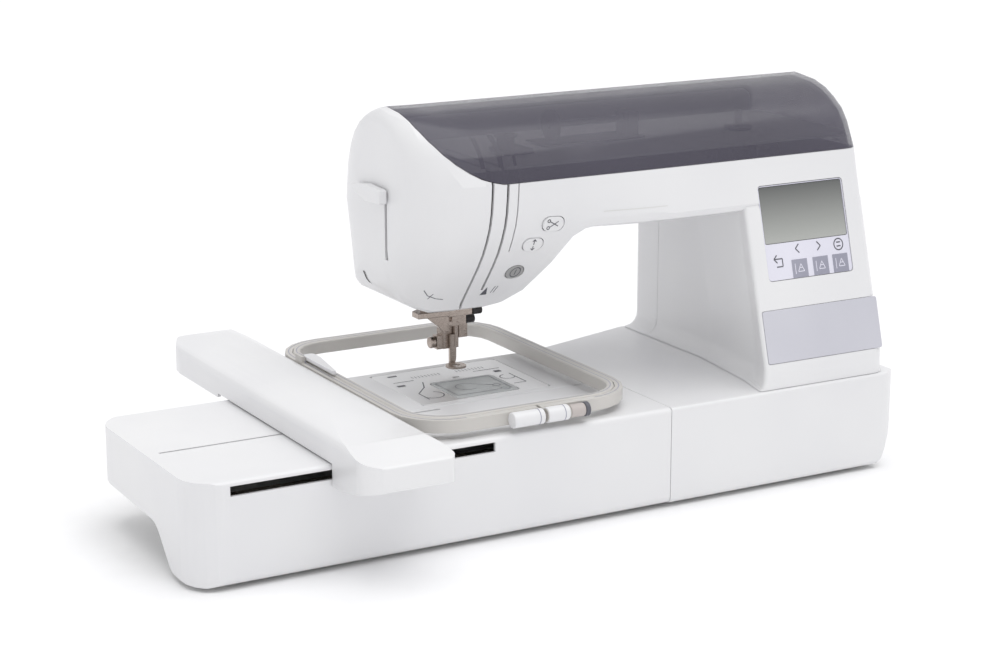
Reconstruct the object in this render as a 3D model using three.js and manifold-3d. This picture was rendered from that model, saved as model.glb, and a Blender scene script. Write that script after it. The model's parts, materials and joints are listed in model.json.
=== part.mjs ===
// Computerised embroidery machine with its embroidery unit, carriage and hoop fitted.
// Millimetres. +X to the machine's right, +Y to its back, +Z up.
// The pieces are laid out from the front left corner of the embroidery unit on the table,
// and the finished group is moved so that its origin is the centre of its footprint.
import * as THREE from "three";
import { mergeVertices } from "three/addons/utils/BufferGeometryUtils.js";
import Module from "manifold-3d";

const wasm = await Module();
wasm.setup();

// ---------------------------------------------------------------- driving sizes
const WALL = 2.5; // moulded casing wall
const GAP = 0.4; // clearance between pieces that fit together
const SEAM = 0.4; // visible joint line between two casings
const FOOT_H = 3; // rubber feet below the casings
const FOOT_R = 9;

// Lengths along X, added up from the left end.
const UNIT_BLOCK_L = 207.6; // wide left part of the embroidery unit
const FREE_ARM_L = 166.4; // free arm from its left end to the bed
const BED_L = 240; // bed under the column
const BED_TONGUE = 19; // how far the unit's front bar reaches past the free arm's right end
const COLUMN_W = 94; // column at its inner wall
const COLUMN_LIP = 27; // how far the front panel reaches past the inner wall
const COLUMN_SETBACK = 12; // column in from the bed's right end

// Depths along Y.
const FRONT_BAR_D = 91; // front bar of the embroidery unit
const UNIT_D = 192; // left block of the embroidery unit
const FREE_ARM_D = 112; // free arm
const BED_D = 236; // bed at the column
const ARM_BACK_IN = 2; // column's back in from the bed's back

// Heights along Z.
const BED_H = 80; // bed surface above the table
const FREE_ARM_H = 50; // free arm, top to bottom
const HEAD_CLEAR = 70; // head above the bed
const THROAT_H = 136; // arm above the bed
const TOP_H = 308.5; // top of the arm
const LID_DROP = 51.5; // lid's front edge below the top
const LEAN = 0.277; // the column's front leans back this much for each unit up
const FRONT_FOOT_Y = 3; // front of the column where the lean begins
const LEAN_START = 18; // height above the bed where the lean begins

// Head and needle.
const NEEDLE_IN = 84; // needle from the head's left end
const NEEDLE_Y = 160;
const HEAD_ROUND = 45; // rounding of the head's left end, front
const HEAD_ROUND_BACK = 68;
const HEAD_ROUND_BACK_LOW = 84; // the same at the head's bottom
const HEAD_ROUND_TOP = 11;
const HEAD_ROUND_LOW = 40;
const NEEDLE_STROKE = 32;

// Embroidery field, hoop and carriage.
const HOOP_W = 194;
const HOOP_D = 264;
const HOOP_X0 = 178; // hoop's left edge as stored
const HOOP_Y0 = 7.5; // hoop's front edge as stored
const HOOP_R = 42; // outer corner radius
const RING_W = 6; // each of the two rings
const RING_H = 10;
const HOOP_LIFT = 5.5; // rings above the bed
const CARRIAGE_X0 = 105.6;
const CARRIAGE_W = 71.4;
const CARRIAGE_FRONT = 57; // overhang in front of the unit
const CARRIAGE_BACK = 320; // rear end, from the unit's front face
const CARRIAGE_TOP = 23; // sides above the bed
const CARRIAGE_CROWN = 5; // ridge above the sides' top
const CARRIAGE_LIFT = 1.4;
const TRAVEL_LEFT = 50; // carriage travel from the stored place
const TRAVEL_RIGHT = 80;

// Needle plate and rotary hook.
const PLATE_IN = 60.5; // plate's left edge from the needle
const PLATE_W = 113.5;
const PLATE_FRONT_IN = 59; // plate's front edge from the needle
const PLATE_D = 92;
const PLATE_T = 2;
const HOOK_OFFSET = 29; // hook axis in front of the needle
const HOOK_R = 27;
const BOBBIN_R = 10.5;
const BOBBIN_H = 11.5;

// Shafts.
const SHAFT_R = 5;
const SHAFT_DROP = 28; // main shaft below the top deck
const LOWER_DROP = 35; // lower shaft below the bed surface
const LOWER_SHAFT_IN = 10; // lower shaft in front of the needle
const PULLEY_R = 20;
const PULLEY_W = 10;
const BELT_T = 1.8;
const HANDWHEEL_R = 31;
const HANDWHEEL_W = 17;

// Display panel and name plate on the leaning front of the column.
const DISPLAY_IN = 23.4; // display's right edge in from the column's right side
const DISPLAY_W = 82;
const DISPLAY_UP = 83; // display's lower edge above the bed
const DISPLAY_H = 75;
const SCREEN_H = 44.5;
const NAME_IN = 4.4; // name plate's right edge in from the column's right side
const NAME_W = 112;
const NAME_DROP = 62; // name plate's lower edge below the display's
const NAME_H = 41.5;

// ---------------------------------------------------------------- derived places
const ARM_X0 = UNIT_BLOCK_L + SEAM; // free arm and head start here
const BED_X0 = ARM_X0 + FREE_ARM_L;
const BED_X1 = BED_X0 + BED_L;
const BAR_X1 = BED_X0 + BED_TONGUE - SEAM; // right end of the unit's front bar
const COLUMN_X1 = BED_X1 - COLUMN_SETBACK;
const COLUMN_X0 = COLUMN_X1 - COLUMN_W;
const PANEL_X0 = COLUMN_X0 - COLUMN_LIP;
const ARM_Y0 = FRONT_BAR_D + SEAM;
const ARM_Y1 = ARM_Y0 + FREE_ARM_D;
const BACK_Y = BED_D - ARM_BACK_IN;
const HEAD_X0 = ARM_X0;
const HEAD_Z0 = BED_H + HEAD_CLEAR;
const THROAT_Z = BED_H + THROAT_H;
const LID_Z = TOP_H - LID_DROP;
const COVER_Z0 = BED_H + GAP;
const NEEDLE_X = HEAD_X0 + NEEDLE_IN;
const HOOK_Y = NEEDLE_Y - HOOK_OFFSET;
const FREE_ARM_Z0 = BED_H - FREE_ARM_H;
const LEAN_ANGLE = Math.atan(LEAN);
const HOOP_Z0 = BED_H + HOOP_LIFT;
const HOOP_Z1 = HOOP_Z0 + RING_H;
const CARRIAGE_X1 = CARRIAGE_X0 + CARRIAGE_W;
const CARRIAGE_Z0 = BED_H + CARRIAGE_LIFT;
const CARRIAGE_Z1 = BED_H + CARRIAGE_TOP;
const DECK_Z = LID_Z + 9;
const SHAFT_Z = DECK_Z - SHAFT_DROP;
const LOWER_Z = BED_H - LOWER_DROP;
const LOWER_Y = NEEDLE_Y - LOWER_SHAFT_IN;
const PLATE_X0 = NEEDLE_X - PLATE_IN;
const PLATE_Y0 = NEEDLE_Y - PLATE_FRONT_IN;
const DISPLAY_X0 = COLUMN_X1 - DISPLAY_IN - DISPLAY_W;
const DISPLAY_Z0 = BED_H + DISPLAY_UP;
const NAME_X0 = COLUMN_X1 - NAME_IN - NAME_W;
const LID_HINGE_Y = BACK_Y - 37;
const PULLEY_X0 = COLUMN_X0 + 48;

// ---------------------------------------------------------------- solid tools
const ARC_STEPS = 5;

function solid(geometry) {
  const bare = geometry.index ? geometry.toNonIndexed() : geometry;
  bare.deleteAttribute("normal");
  bare.deleteAttribute("uv");
  const merged = mergeVertices(bare, 1e-4);
  return new wasm.Manifold(
    new wasm.Mesh({
      numProp: 3,
      vertProperties: new Float32Array(merged.attributes.position.array),
      triVerts: new Uint32Array(merged.index.array),
    }),
  );
}

function geometryOf(body) {
  const mesh = body.getMesh();
  const positions = new Float32Array(mesh.numVert * 3);
  for (let i = 0; i < mesh.numVert; i++) {
    positions.set(mesh.vertProperties.subarray(i * mesh.numProp, i * mesh.numProp + 3), i * 3);
  }
  const indexed = new THREE.BufferGeometry();
  indexed.setAttribute("position", new THREE.BufferAttribute(positions, 3));
  indexed.setIndex(new THREE.BufferAttribute(new Uint32Array(mesh.triVerts), 1));
  const flat = indexed.toNonIndexed();
  flat.computeVertexNormals();
  return flat;
}

const join = (...bodies) => bodies.reduce((a, b) => a.add(b));
const cut = (body, ...tools) => tools.reduce((a, b) => a.subtract(b), body);
const overlap = (...bodies) => bodies.reduce((a, b) => a.intersect(b));

// An outline with rounded corners. corners holds [u, v, radius] counter-clockwise, and inset
// moves every edge inwards by that distance.
function outline(corners, inset = 0) {
  const count = corners.length;
  const moved = corners.map(([u, v, r], i) => {
    const [pu, pv] = corners[(i + count - 1) % count];
    const [nu, nv] = corners[(i + 1) % count];
    const a = new THREE.Vector2(u - pu, v - pv).normalize();
    const b = new THREE.Vector2(nu - u, nv - v).normalize();
    const turn = a.x * b.y - a.y * b.x;
    const scale = inset / (1 + a.dot(b));
    const shift = new THREE.Vector2(-a.y - b.y, a.x + b.x).multiplyScalar(scale);
    return { u: u + shift.x, v: v + shift.y, r: Math.max(r - Math.sign(turn) * inset, 0.2), a, b, turn };
  });
  const points = [];
  for (const { u, v, r, a, b, turn } of moved) {
    const angle = Math.acos(THREE.MathUtils.clamp(a.dot(b), -1, 1));
    const reach = r * Math.tan(angle / 2);
    const side = Math.sign(turn) || 1;
    const centre = new THREE.Vector2(u - a.x * reach - side * a.y * r, v - a.y * reach + side * a.x * r);
    for (let k = 0; k <= ARC_STEPS; k++) {
      const t = Math.atan2(-side * a.x, side * a.y) + (side * angle * k) / ARC_STEPS;
      points.push([centre.x + r * Math.cos(t), centre.y + r * Math.sin(t)]);
    }
  }
  return points;
}

const rectangle = (u0, u1, v0, v1, r = 0.2) => [
  [u0, v0, r],
  [u1, v0, r],
  [u1, v1, r],
  [u0, v1, r],
];

// The three ways to lay an outline: its u and v go to the two axes named, its length to the third.
const TO_AXIS = {
  x: new THREE.Matrix4().set(0, 0, 1, 0, 1, 0, 0, 0, 0, 1, 0, 0, 0, 0, 0, 1), // u to Y, v to Z
  y: new THREE.Matrix4().set(1, 0, 0, 0, 0, 0, -1, 0, 0, 1, 0, 0, 0, 0, 0, 1), // u to X, v to Z
  z: new THREE.Matrix4(), // u to X, v to Y
};

function prism(axis, points, from, to, hole = null) {
  const shape = new THREE.Shape(points.map(([u, v]) => new THREE.Vector2(u, v)));
  if (hole) {
    shape.holes.push(new THREE.Path(hole.map(([u, v]) => new THREE.Vector2(u, v))));
  }
  const geometry = new THREE.ExtrudeGeometry(shape, { depth: to - from, bevelEnabled: false });
  const start = axis === "y" ? -to : from;
  geometry.translate(0, 0, start);
  return solid(geometry.applyMatrix4(TO_AXIS[axis]));
}

const box = (x0, x1, y0, y1, z0, z1) => prism("z", [[x0, y0], [x1, y0], [x1, y1], [x0, y1]], z0, z1);

function circle(u, v, r, steps = 28) {
  const points = [];
  for (let k = 0; k < steps; k++) {
    const t = ((k + 0.5) / steps) * 2 * Math.PI;
    points.push([u + r * Math.cos(t), v + r * Math.sin(t)]);
  }
  return points;
}

const rod = (axis, u, v, r, from, to, steps = 28) => prism(axis, circle(u, v, r, steps), from, to);

const tube = (axis, u, v, r, bore, from, to, steps = 28) =>
  prism(axis, circle(u, v, r, steps), from, to, circle(u, v, bore, steps));

// A skin over matching outlines, each { at, points }, closed by flat ends.
function loft(axis, sections) {
  const count = sections[0].points.length;
  const positions = [];
  const push = (...corners) => corners.forEach(([u, v, w]) => positions.push(u, v, w));
  for (let s = 0; s + 1 < sections.length; s++) {
    const low = sections[s];
    const high = sections[s + 1];
    for (let i = 0; i < count; i++) {
      const j = (i + 1) % count;
      const a = [...low.points[i], low.at];
      const b = [...low.points[j], low.at];
      const c = [...high.points[j], high.at];
      const d = [...high.points[i], high.at];
      push(a, b, c, a, c, d);
    }
  }
  for (const [section, flip] of [[sections[0], true], [sections.at(-1), false]]) {
    const flat = section.points.map(([u, v]) => new THREE.Vector2(u, v));
    for (const [i, j, k] of THREE.ShapeUtils.triangulateShape(flat, [])) {
      const corners = [i, flip ? k : j, flip ? j : k].map((n) => [...section.points[n], section.at]);
      push(...corners);
    }
  }
  const geometry = new THREE.BufferGeometry();
  geometry.setAttribute("position", new THREE.Float32BufferAttribute(positions, 3));
  return solid(geometry.applyMatrix4(TO_AXIS[axis]));
}

// Moves every point of a smooth closed outline inwards along its own normal.
function shrink(points, inset) {
  const count = points.length;
  return points.map(([u, v], i) => {
    const [pu, pv] = points[(i + count - 1) % count];
    const [nu, nv] = points[(i + 1) % count];
    const along = new THREE.Vector2(nu - pu, nv - pv).normalize();
    return [u - along.y * inset, v + along.x * inset];
  });
}

function moved(body, x, y, z, tiltX = 0) {
  const matrix = new THREE.Matrix4().makeRotationX(tiltX).setPosition(x, y, z);
  return body.transform(matrix.elements);
}

// ---------------------------------------------------------------- looks
const FINISH = {
  casing: { color: 0xf1f1f2, roughness: 0.28, metalness: 0 },
  inner: { color: 0xdcdcda, roughness: 0.5, metalness: 0 },
  smoke: { color: 0x5b5961, roughness: 0.12, metalness: 0 },
  screen: { color: 0x9a9b9a, roughness: 0.15, metalness: 0 },
  keypad: { color: 0xe4e3ee, roughness: 0.35, metalness: 0 },
  key: { color: 0x9a9aa6, roughness: 0.4, metalness: 0 },
  silver: { color: 0xcfcfd8, roughness: 0.35, metalness: 0.3 },
  steel: { color: 0x9c948e, roughness: 0.3, metalness: 1 },
  iron: { color: 0x6f7072, roughness: 0.5, metalness: 0.8 },
  dark: { color: 0x2b2829, roughness: 0.6, metalness: 0 },
  rubber: { color: 0x3a3a3a, roughness: 0.9, metalness: 0 },
  hoop: { color: 0xc9c7c2, roughness: 0.45, metalness: 0 },
  clear: { color: 0xe6ebec, roughness: 0.1, metalness: 0 },
  board: { color: 0x2f6a45, roughness: 0.6, metalness: 0 },
  grey: { color: 0xa3a3a3, roughness: 0.4, metalness: 0 },
};

const machine = new THREE.Group();
machine.name = "embroidery_machine";

function add(name, body, finish, parent = machine) {
  const mesh = new THREE.Mesh(geometryOf(body), new THREE.MeshStandardMaterial(FINISH[finish]));
  mesh.name = name;
  parent.add(mesh);
  return mesh;
}

// ---------------------------------------------------------------- embroidery unit
const SLOT_X0 = CARRIAGE_X0 + CARRIAGE_W / 2 - TRAVEL_LEFT - 63; // front slot for the carriage's tongue
const SLOT_X1 = CARRIAGE_X0 + CARRIAGE_W / 2 + TRAVEL_RIGHT + 17;
const SLOT_TOP = 3.4; // below the bed surface
const SLOT_H = 7.4;
const GROOVE_Y = 86;
const GROOVE_W = 2.4;
const EDGE_R = 4; // rounded top edges of the bed and unit
const RAIL_R = 4;
const RAIL_Y = 32;
const RAIL_Z = 57;

function unitPlan(inset) {
  const corners = [
    [0, 0, 26],
    [BAR_X1, 0, 0.5],
    [BAR_X1, FRONT_BAR_D, 0.5],
    [UNIT_BLOCK_L, FRONT_BAR_D, 1],
    [UNIT_BLOCK_L, UNIT_D, 12],
    [0, UNIT_D, 28],
  ];
  return outline(corners, inset);
}

// Side view of the unit: deep at the front, raised underneath at the back.
function unitSide(lift = 0) {
  const low = FOOT_H + lift;
  const raised = 34 + lift;
  const corners = [
    [0, low, 6],
    [44, low + 2, 12],
    [72, raised, 20],
    [UNIT_D, raised + 3, 10],
    [UNIT_D, BED_H + lift, EDGE_R],
    [0, BED_H + lift, EDGE_R],
  ];
  return prism("x", outline(corners), -1, BAR_X1 + 1);
}

function embroideryUnit() {
  const outer = overlap(prism("z", unitPlan(0), 0, BED_H), unitSide());
  const hollow = prism("z", unitPlan(WALL), -1, BED_H - WALL);
  const slot = box(SLOT_X0, SLOT_X1, -1, WALL + 3, BED_H - SLOT_TOP - SLOT_H, BED_H - SLOT_TOP);
  const groove = box(10, SLOT_X1, GROOVE_Y - GROOVE_W / 2, GROOVE_Y + GROOVE_W / 2, BED_H - 8, BED_H + 1);
  add("unit_casing", cut(outer, hollow, slot, groove), "casing");

  const floor = cut(unitSide(), unitSide(WALL));
  const fitted = prism("z", unitPlan(WALL + GAP), 0, BED_H / 2);
  const leverHole = box(LATCH.x0 - GAP, LATCH.x1 + GAP, LATCH.y0 - GAP, LATCH.y1 + GAP, 0, BED_H / 2);
  add("unit_floor", cut(overlap(floor, fitted), leverHole), "inner");

  const railEnds = 8;
  const rail = rod("x", RAIL_Y, RAIL_Z, RAIL_R, WALL + railEnds, BAR_X1 - WALL - railEnds, 20);
  add("unit_guide_rail", rail, "steel");
}

// The button underneath that unlocks the unit from the machine.
const LATCH = { x0: 34, x1: 62, y0: 20, y1: 34 };

function releaseLever() {
  const { x0, x1, y0, y1 } = LATCH;
  const pad = box(x0, x1, y0, y1, 0.8, FOOT_H + WALL + 1.5);
  const stem = box(x0 + 4, x1 - 4, y0 + 2, y1 - 2, FOOT_H + 2, FOOT_H + 13);
  add("unit_release_lever", join(pad, stem), "grey");
}

// ---------------------------------------------------------------- bed and free arm
const COLUMN_HOLE_IN = 14; // opening in the bed's top inside the column

function bedPlan(inset) {
  const corners = [
    [BED_X0 + BED_TONGUE, 0, 0.5],
    [BED_X1, 0, 18],
    [BED_X1, BED_D, 34],
    [COLUMN_X0 - 4, BED_D, 60],
    [COLUMN_X0 - 70, ARM_Y1 + 12, 60],
    [BED_X0 + 24, ARM_Y1, 40],
    [BED_X0, ARM_Y1, 0.5],
    [BED_X0, ARM_Y0 - SEAM, 0.5],
    [BED_X0 + BED_TONGUE, ARM_Y0 - SEAM, 0.5],
  ];
  return outline(corners, inset);
}

// Front view of the bed: its right end curves in towards the table.
function bedFront(inset = 0) {
  const corners = [
    [BED_X0 - 5, FOOT_H - 3 * inset, 0.5],
    [BED_X1 - 18, FOOT_H - 3 * inset, 12],
    [BED_X1 - 3, FOOT_H + 34, 60],
    [BED_X1, BED_H + inset, EDGE_R],
    [BED_X0 - 5, BED_H + inset, 0.5],
  ];
  return prism("y", outline(corners, inset), -1, BED_D + 1);
}

function bedSide() {
  const corners = [
    [0, FOOT_H, 5],
    [BED_D, FOOT_H, 14],
    [BED_D, BED_H, EDGE_R],
    [0, BED_H, 2.4],
  ];
  return prism("x", outline(corners), BED_X0 - 5, BED_X1 + 1);
}

function bed() {
  const outer = overlap(prism("z", bedPlan(0), 0, BED_H), bedFront(), bedSide());
  const hollow = overlap(prism("z", bedPlan(WALL), -1, BED_H - WALL), bedFront(WALL));
  const open = box(
    COLUMN_X0 + COLUMN_HOLE_IN, COLUMN_X1 - COLUMN_HOLE_IN,
    FRONT_FOOT_Y + 2 * COLUMN_HOLE_IN, BACK_Y - 2 * COLUMN_HOLE_IN,
    BED_H - 2 * WALL, BED_H + 1,
  );
  const armDoor = box(BED_X0 - 1, BED_X0 + 2 * WALL, ARM_Y0 + 12, ARM_Y1 - 12, FREE_ARM_Z0 + 8, BED_H - 12);
  const inlet = box(BED_X1 - 30, BED_X1 + 1, 172, 200, 24, 46);
  const rocker = box(BED_X1 - 30, BED_X1 + 1, 130, 154, 26, 44);
  add("bed_casing", cut(outer, hollow, open, armDoor, inlet, rocker), "casing");

  const plate = overlap(
    prism("z", bedPlan(WALL + GAP), FOOT_H + 0.5, FOOT_H + 0.5 + WALL),
    bedFront(WALL + GAP),
    prism("x", outline(rectangle(GAP + WALL, BED_D - 14, 0, BED_H)), BED_X0 - 5, BED_X1 + 1),
  );
  const vents = [];
  for (let k = 0; k < 5; k++) {
    vents.push(box(COLUMN_X0 - 20 + 14 * k, COLUMN_X0 - 14 + 14 * k, 110, 170, 0, 10));
  }
  add("bed_floor", cut(plate, ...vents), "inner");

  add("power_inlet", cut(
    box(BED_X1 - 22, BED_X1 - 3.4, 172 + GAP, 200 - GAP, 24 + GAP, 46 - GAP),
    box(BED_X1 - 18, BED_X1, 175, 197, 27, 43),
  ), "dark");

  add("drive_motor", rod("x", 78, 40, 24, COLUMN_X0 - 12, COLUMN_X0 + 34, 32), "iron");
}

function freeArm() {
  const plan = (inset) => outline([
    [ARM_X0, ARM_Y0, 3],
    [BED_X0 - SEAM, ARM_Y0, 0.5],
    [BED_X0 - SEAM, ARM_Y1, 0.5],
    [ARM_X0, ARM_Y1, 16],
  ], inset);
  const side = prism("x", outline(rectangle(ARM_Y0, ARM_Y1, FREE_ARM_Z0, BED_H, EDGE_R)), ARM_X0 - 1, BED_X0);
  const outer = overlap(prism("z", plan(0), FREE_ARM_Z0, BED_H), side);
  const hollow = prism("z", plan(WALL), FREE_ARM_Z0 + WALL, BED_H - WALL);
  const throughEnd = box(BED_X0 - 6, BED_X0 + 1, ARM_Y0 + 12, ARM_Y1 - 12, FREE_ARM_Z0 + 8, BED_H - 12);
  const seat = box(
    PLATE_X0 - GAP, PLATE_X0 + PLATE_W + GAP, PLATE_Y0 - GAP, PLATE_Y0 + PLATE_D + GAP,
    BED_H - PLATE_T - 0.3, BED_H + 1,
  );
  const well = box(
    NEEDLE_X - HOOK_R - 4, NEEDLE_X + HOOK_R + 4, HOOK_Y - HOOK_R - 2, NEEDLE_Y + 8,
    BED_H - 2 * WALL, BED_H + 1,
  );
  add("free_arm_casing", cut(outer, hollow, throughEnd, seat, well), "casing");
}

// ---------------------------------------------------------------- needle plate and hook
const COVER_W = 56; // sliding bobbin cover
const COVER_D = 50;

function needlePlate() {
  const plate = prism(
    "z",
    outline(rectangle(PLATE_X0, PLATE_X0 + PLATE_W, PLATE_Y0, PLATE_Y0 + PLATE_D, 4)),
    BED_H - PLATE_T, BED_H,
  );
  const coverX0 = NEEDLE_X - COVER_W / 2;
  const coverY1 = HOOK_Y + 23;
  const coverHole = prism(
    "z",
    outline(rectangle(coverX0 - GAP, coverX0 + COVER_W + GAP, coverY1 - COVER_D - GAP, coverY1 + GAP, 5)),
    BED_H - 5, BED_H + 1,
  );
  const holeOutline = outline(rectangle(NEEDLE_X - 3, NEEDLE_X + 3, NEEDLE_Y - 1.4, NEEDLE_Y + 1.4, 1.2));
  const needleHole = prism("z", holeOutline, BED_H - 5, BED_H + 1);
  add("needle_plate", cut(plate, coverHole, needleHole), "silver");
  const cover = prism(
    "z",
    outline(rectangle(coverX0, coverX0 + COVER_W, coverY1 - COVER_D, coverY1, 5)),
    BED_H - 1.6, BED_H,
  );
  const notch = rod("z", coverX0 + COVER_W - 9, coverY1 - COVER_D + 9, 4, BED_H - 0.8, BED_H + 1, 20);
  add("bobbin_cover", cut(cover, notch), "clear");
}

function rotaryHook() {
  const rimZ = BED_H - 5;
  const cupZ = rimZ - 18;
  const cup = join(
    tube("z", NEEDLE_X, HOOK_Y, HOOK_R - 0.6, HOOK_R - 3, cupZ, rimZ, 36),
    rod("z", NEEDLE_X, HOOK_Y, HOOK_R - 0.6, cupZ, cupZ + 2, 36),
    rod("z", NEEDLE_X, HOOK_Y, 3, FREE_ARM_Z0 + 5, cupZ + 1, 16),
    rod("z", NEEDLE_X, HOOK_Y, 6.6, LOWER_Z - 4, LOWER_Z + 4, 20),
  );
  const hookEdge = HOOK_Y + HOOK_R;
  const pointGap = box(NEEDLE_X - 6, NEEDLE_X + 8, hookEdge - 8, hookEdge + 2, rimZ - 7, rimZ + 1);
  add("rotary_hook", cut(cup, pointGap), "steel");

  const caseZ = cupZ + 3;
  const shell = cut(
    rod("z", NEEDLE_X, HOOK_Y, HOOK_R - 4, caseZ, rimZ + 1, 36),
    rod("z", NEEDLE_X, HOOK_Y, BOBBIN_R + 1, caseZ + 1.4, rimZ + 2, 32),
  );
  add("bobbin_case", shell, "dark");
  const bobbinZ = caseZ + 2;
  const spool = join(
    tube("z", NEEDLE_X, HOOK_Y, BOBBIN_R, 3, bobbinZ, bobbinZ + 1, 28),
    tube("z", NEEDLE_X, HOOK_Y, 4.4, 3, bobbinZ, bobbinZ + BOBBIN_H, 28),
    tube("z", NEEDLE_X, HOOK_Y, BOBBIN_R, 3, bobbinZ + BOBBIN_H - 1, bobbinZ + BOBBIN_H, 28),
  );
  add("bobbin", spool, "clear");
}

// ---------------------------------------------------------------- column, arm and head
// How far the head's front stands back from the lid's edge, by height from its bottom to that edge.
const HEAD_FRONT = [
  [0, 55.5], [0.05, 51.5], [0.18, 40.5], [0.35, 25.5], [0.51, 13.5], [0.67, 5.5], [0.82, 1.5], [1, 0],
];
// The arm's top in front, from the lid's edge, and behind, from the top back edge.
const SHOULDER = [[8.5, 20], [16.5, 30], [28, 38], [40.5, 44.5], [55.5, 49], [78.5, 51.5]];
const REAR_TOP = [[-84, -4], [-64, -9], [-46, -15], [-29, -24], [-17, -35], [-8, -49], [-3, -65.5]];
const BLEND_X0 = 88; // head's front turns into the column's front between these, from the head's left end
const BLEND_X1 = 208;

const columnFront = (z) => FRONT_FOOT_Y + LEAN * Math.max(z - BED_H - LEAN_START, 0);
const LID_Y = columnFront(LID_Z) + 1.5;

function headFront(z) {
  const t = THREE.MathUtils.clamp((z - HEAD_Z0) / (LID_Z - HEAD_Z0), 0, 1);
  const k = Math.max(HEAD_FRONT.findIndex(([at]) => at >= t), 1);
  const [t0, y0] = HEAD_FRONT[k - 1];
  const [t1, y1] = HEAD_FRONT[k];
  return LID_Y + THREE.MathUtils.lerp(y0, y1, (t - t0) / (t1 - t0));
}

function armFront(x, z) {
  const s = THREE.MathUtils.smoothstep(x - HEAD_X0, BLEND_X0, BLEND_X1);
  const edge = Math.min(columnFront(z), LID_Y);
  return THREE.MathUtils.lerp(headFront(z), edge, s);
}

// Underside of the head and arm along X, from the head's left end.
function armUnder(x) {
  const steps = [
    [0, 0], [80, 0], [92, 2], [104, 12], [116, 36], [128, 58], [138, 64.5], [146, 66], [1e4, 66],
  ];
  const from = x - HEAD_X0;
  const k = Math.max(steps.findIndex(([at]) => at >= from), 1);
  const [a, za] = steps[k - 1];
  const [b, zb] = steps[k];
  const rise = (THROAT_Z - HEAD_Z0) / 66;
  return HEAD_Z0 + rise * THREE.MathUtils.lerp(za, zb, THREE.MathUtils.clamp((from - a) / (b - a), 0, 1));
}

function rounding(depth, radius) {
  const d = THREE.MathUtils.clamp(depth, 0, radius);
  return radius - Math.sqrt(radius * radius - (radius - d) * (radius - d));
}

const END_FRONT_R = 14; // column's right end
const END_TOP_R = 9;

function armSection(x, inset) {
  const inColumn = x > COLUMN_X0 + 1;
  const low = inColumn ? THROAT_Z - 21 : armUnder(x);
  const points = [];
  const steps = 9;
  const cornerR = 7;
  for (let k = steps; k >= 0; k--) {
    const z = THREE.MathUtils.lerp(low + cornerR, LID_Z, k / steps);
    points.push([armFront(x, z), z]);
  }
  const foot = armFront(x, low + cornerR);
  points.push([foot + 2, low + 2.4], [foot + 8, low]);
  points.push([(foot + BACK_Y) / 2, low], [BACK_Y - 9, low], [BACK_Y - 2.6, low + 2.6], [BACK_Y, low + 9]);
  points.push([BACK_Y, (low + TOP_H) / 2]);
  for (const [dy, dz] of [...REAR_TOP].reverse()) {
    points.push([BACK_Y + dy, TOP_H + dz]);
  }
  for (const [dy, dz] of [...SHOULDER].reverse()) {
    points.push([LID_Y + dy, LID_Z + dz]);
  }
  const fromLeft = x - HEAD_X0 - inset;
  const fromRight = COLUMN_X1 - inset - x;
  const front = Math.max(rounding(fromLeft, HEAD_ROUND), rounding(fromRight, END_FRONT_R));
  const backEnd = rounding(fromRight, END_FRONT_R);
  const top = Math.max(rounding(fromLeft, HEAD_ROUND_TOP), rounding(fromRight, END_TOP_R));
  const under = rounding(fromLeft, HEAD_ROUND_LOW);
  const midY = (LID_Y + BACK_Y) / 2;
  const midZ = (low + TOP_H) / 2;
  const squeezed = shrink(points, inset).map(([y, z]) => {
    const up = THREE.MathUtils.smoothstep(z, HEAD_Z0, HEAD_Z0 + HEAD_CLEAR);
    const backR = THREE.MathUtils.lerp(HEAD_ROUND_BACK_LOW, HEAD_ROUND_BACK, up);
    const back = Math.max(rounding(fromLeft, backR), backEnd);
    return [
      y < midY
        ? midY - (midY - y) * (1 - front / (midY - LID_Y))
        : midY + (y - midY) * (1 - back / (BACK_Y - midY)),
      z > midZ
        ? midZ + (z - midZ) * (1 - top / (TOP_H - midZ))
        : midZ - (midZ - z) * (1 - under / (midZ - low)),
    ];
  });
  return { at: x, points: squeezed };
}

function armSolid(inset) {
  const left = HEAD_X0 + inset;
  const right = COLUMN_X1 - inset;
  const stations = [
    left, left + 1.5, left + 5, left + 11, left + 20, left + 32,
    HEAD_X0 + 50, HEAD_X0 + 66, HEAD_X0 + 80, HEAD_X0 + 92,
    HEAD_X0 + 104, HEAD_X0 + 116, HEAD_X0 + 128, HEAD_X0 + 138, HEAD_X0 + 146, HEAD_X0 + 166, HEAD_X0 + 186,
    HEAD_X0 + 208, COLUMN_X0 + 0.5, COLUMN_X0 + 3, right - 16, right - 9, right - 4, right - 1.2, right,
  ];
  return loft("x", stations.map((x) => armSection(x, inset)));
}

// The column's plan at one height; its foot flares out to the bed.
function columnSection(z, inset) {
  const up = z - COVER_Z0;
  const flare = rounding(up, 12);
  const tuck = THREE.MathUtils.clamp((z - THROAT_Z - 1) / 4, 0, 1);
  const front = columnFront(z) + tuck;
  const wall = COLUMN_X0 - flare + tuck;
  const corners = [
    [PANEL_X0 - flare * 0.3 + tuck, front, 2.5],
    [COLUMN_X1 + flare * 0.12 - tuck, front, END_FRONT_R],
    [COLUMN_X1 + flare * 0.12 - tuck, BACK_Y - tuck, END_FRONT_R],
    [wall, BACK_Y - tuck, 7],
    [wall, front + 110, 50],
    [wall - 10, front + 34, 40],
  ];
  return { at: z, points: outline(corners, inset) };
}

function columnSolid(inset, floorZ) {
  const heights = [
    floorZ, COVER_Z0 + 0.6, COVER_Z0 + 2, COVER_Z0 + 4.5, COVER_Z0 + 8, COVER_Z0 + 12, BED_H + LEAN_START,
    THROAT_Z - 10, THROAT_Z + 1, THROAT_Z + 5,
  ];
  return loft("z", heights.map((z) => columnSection(Math.max(z, floorZ), inset)));
}

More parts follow.
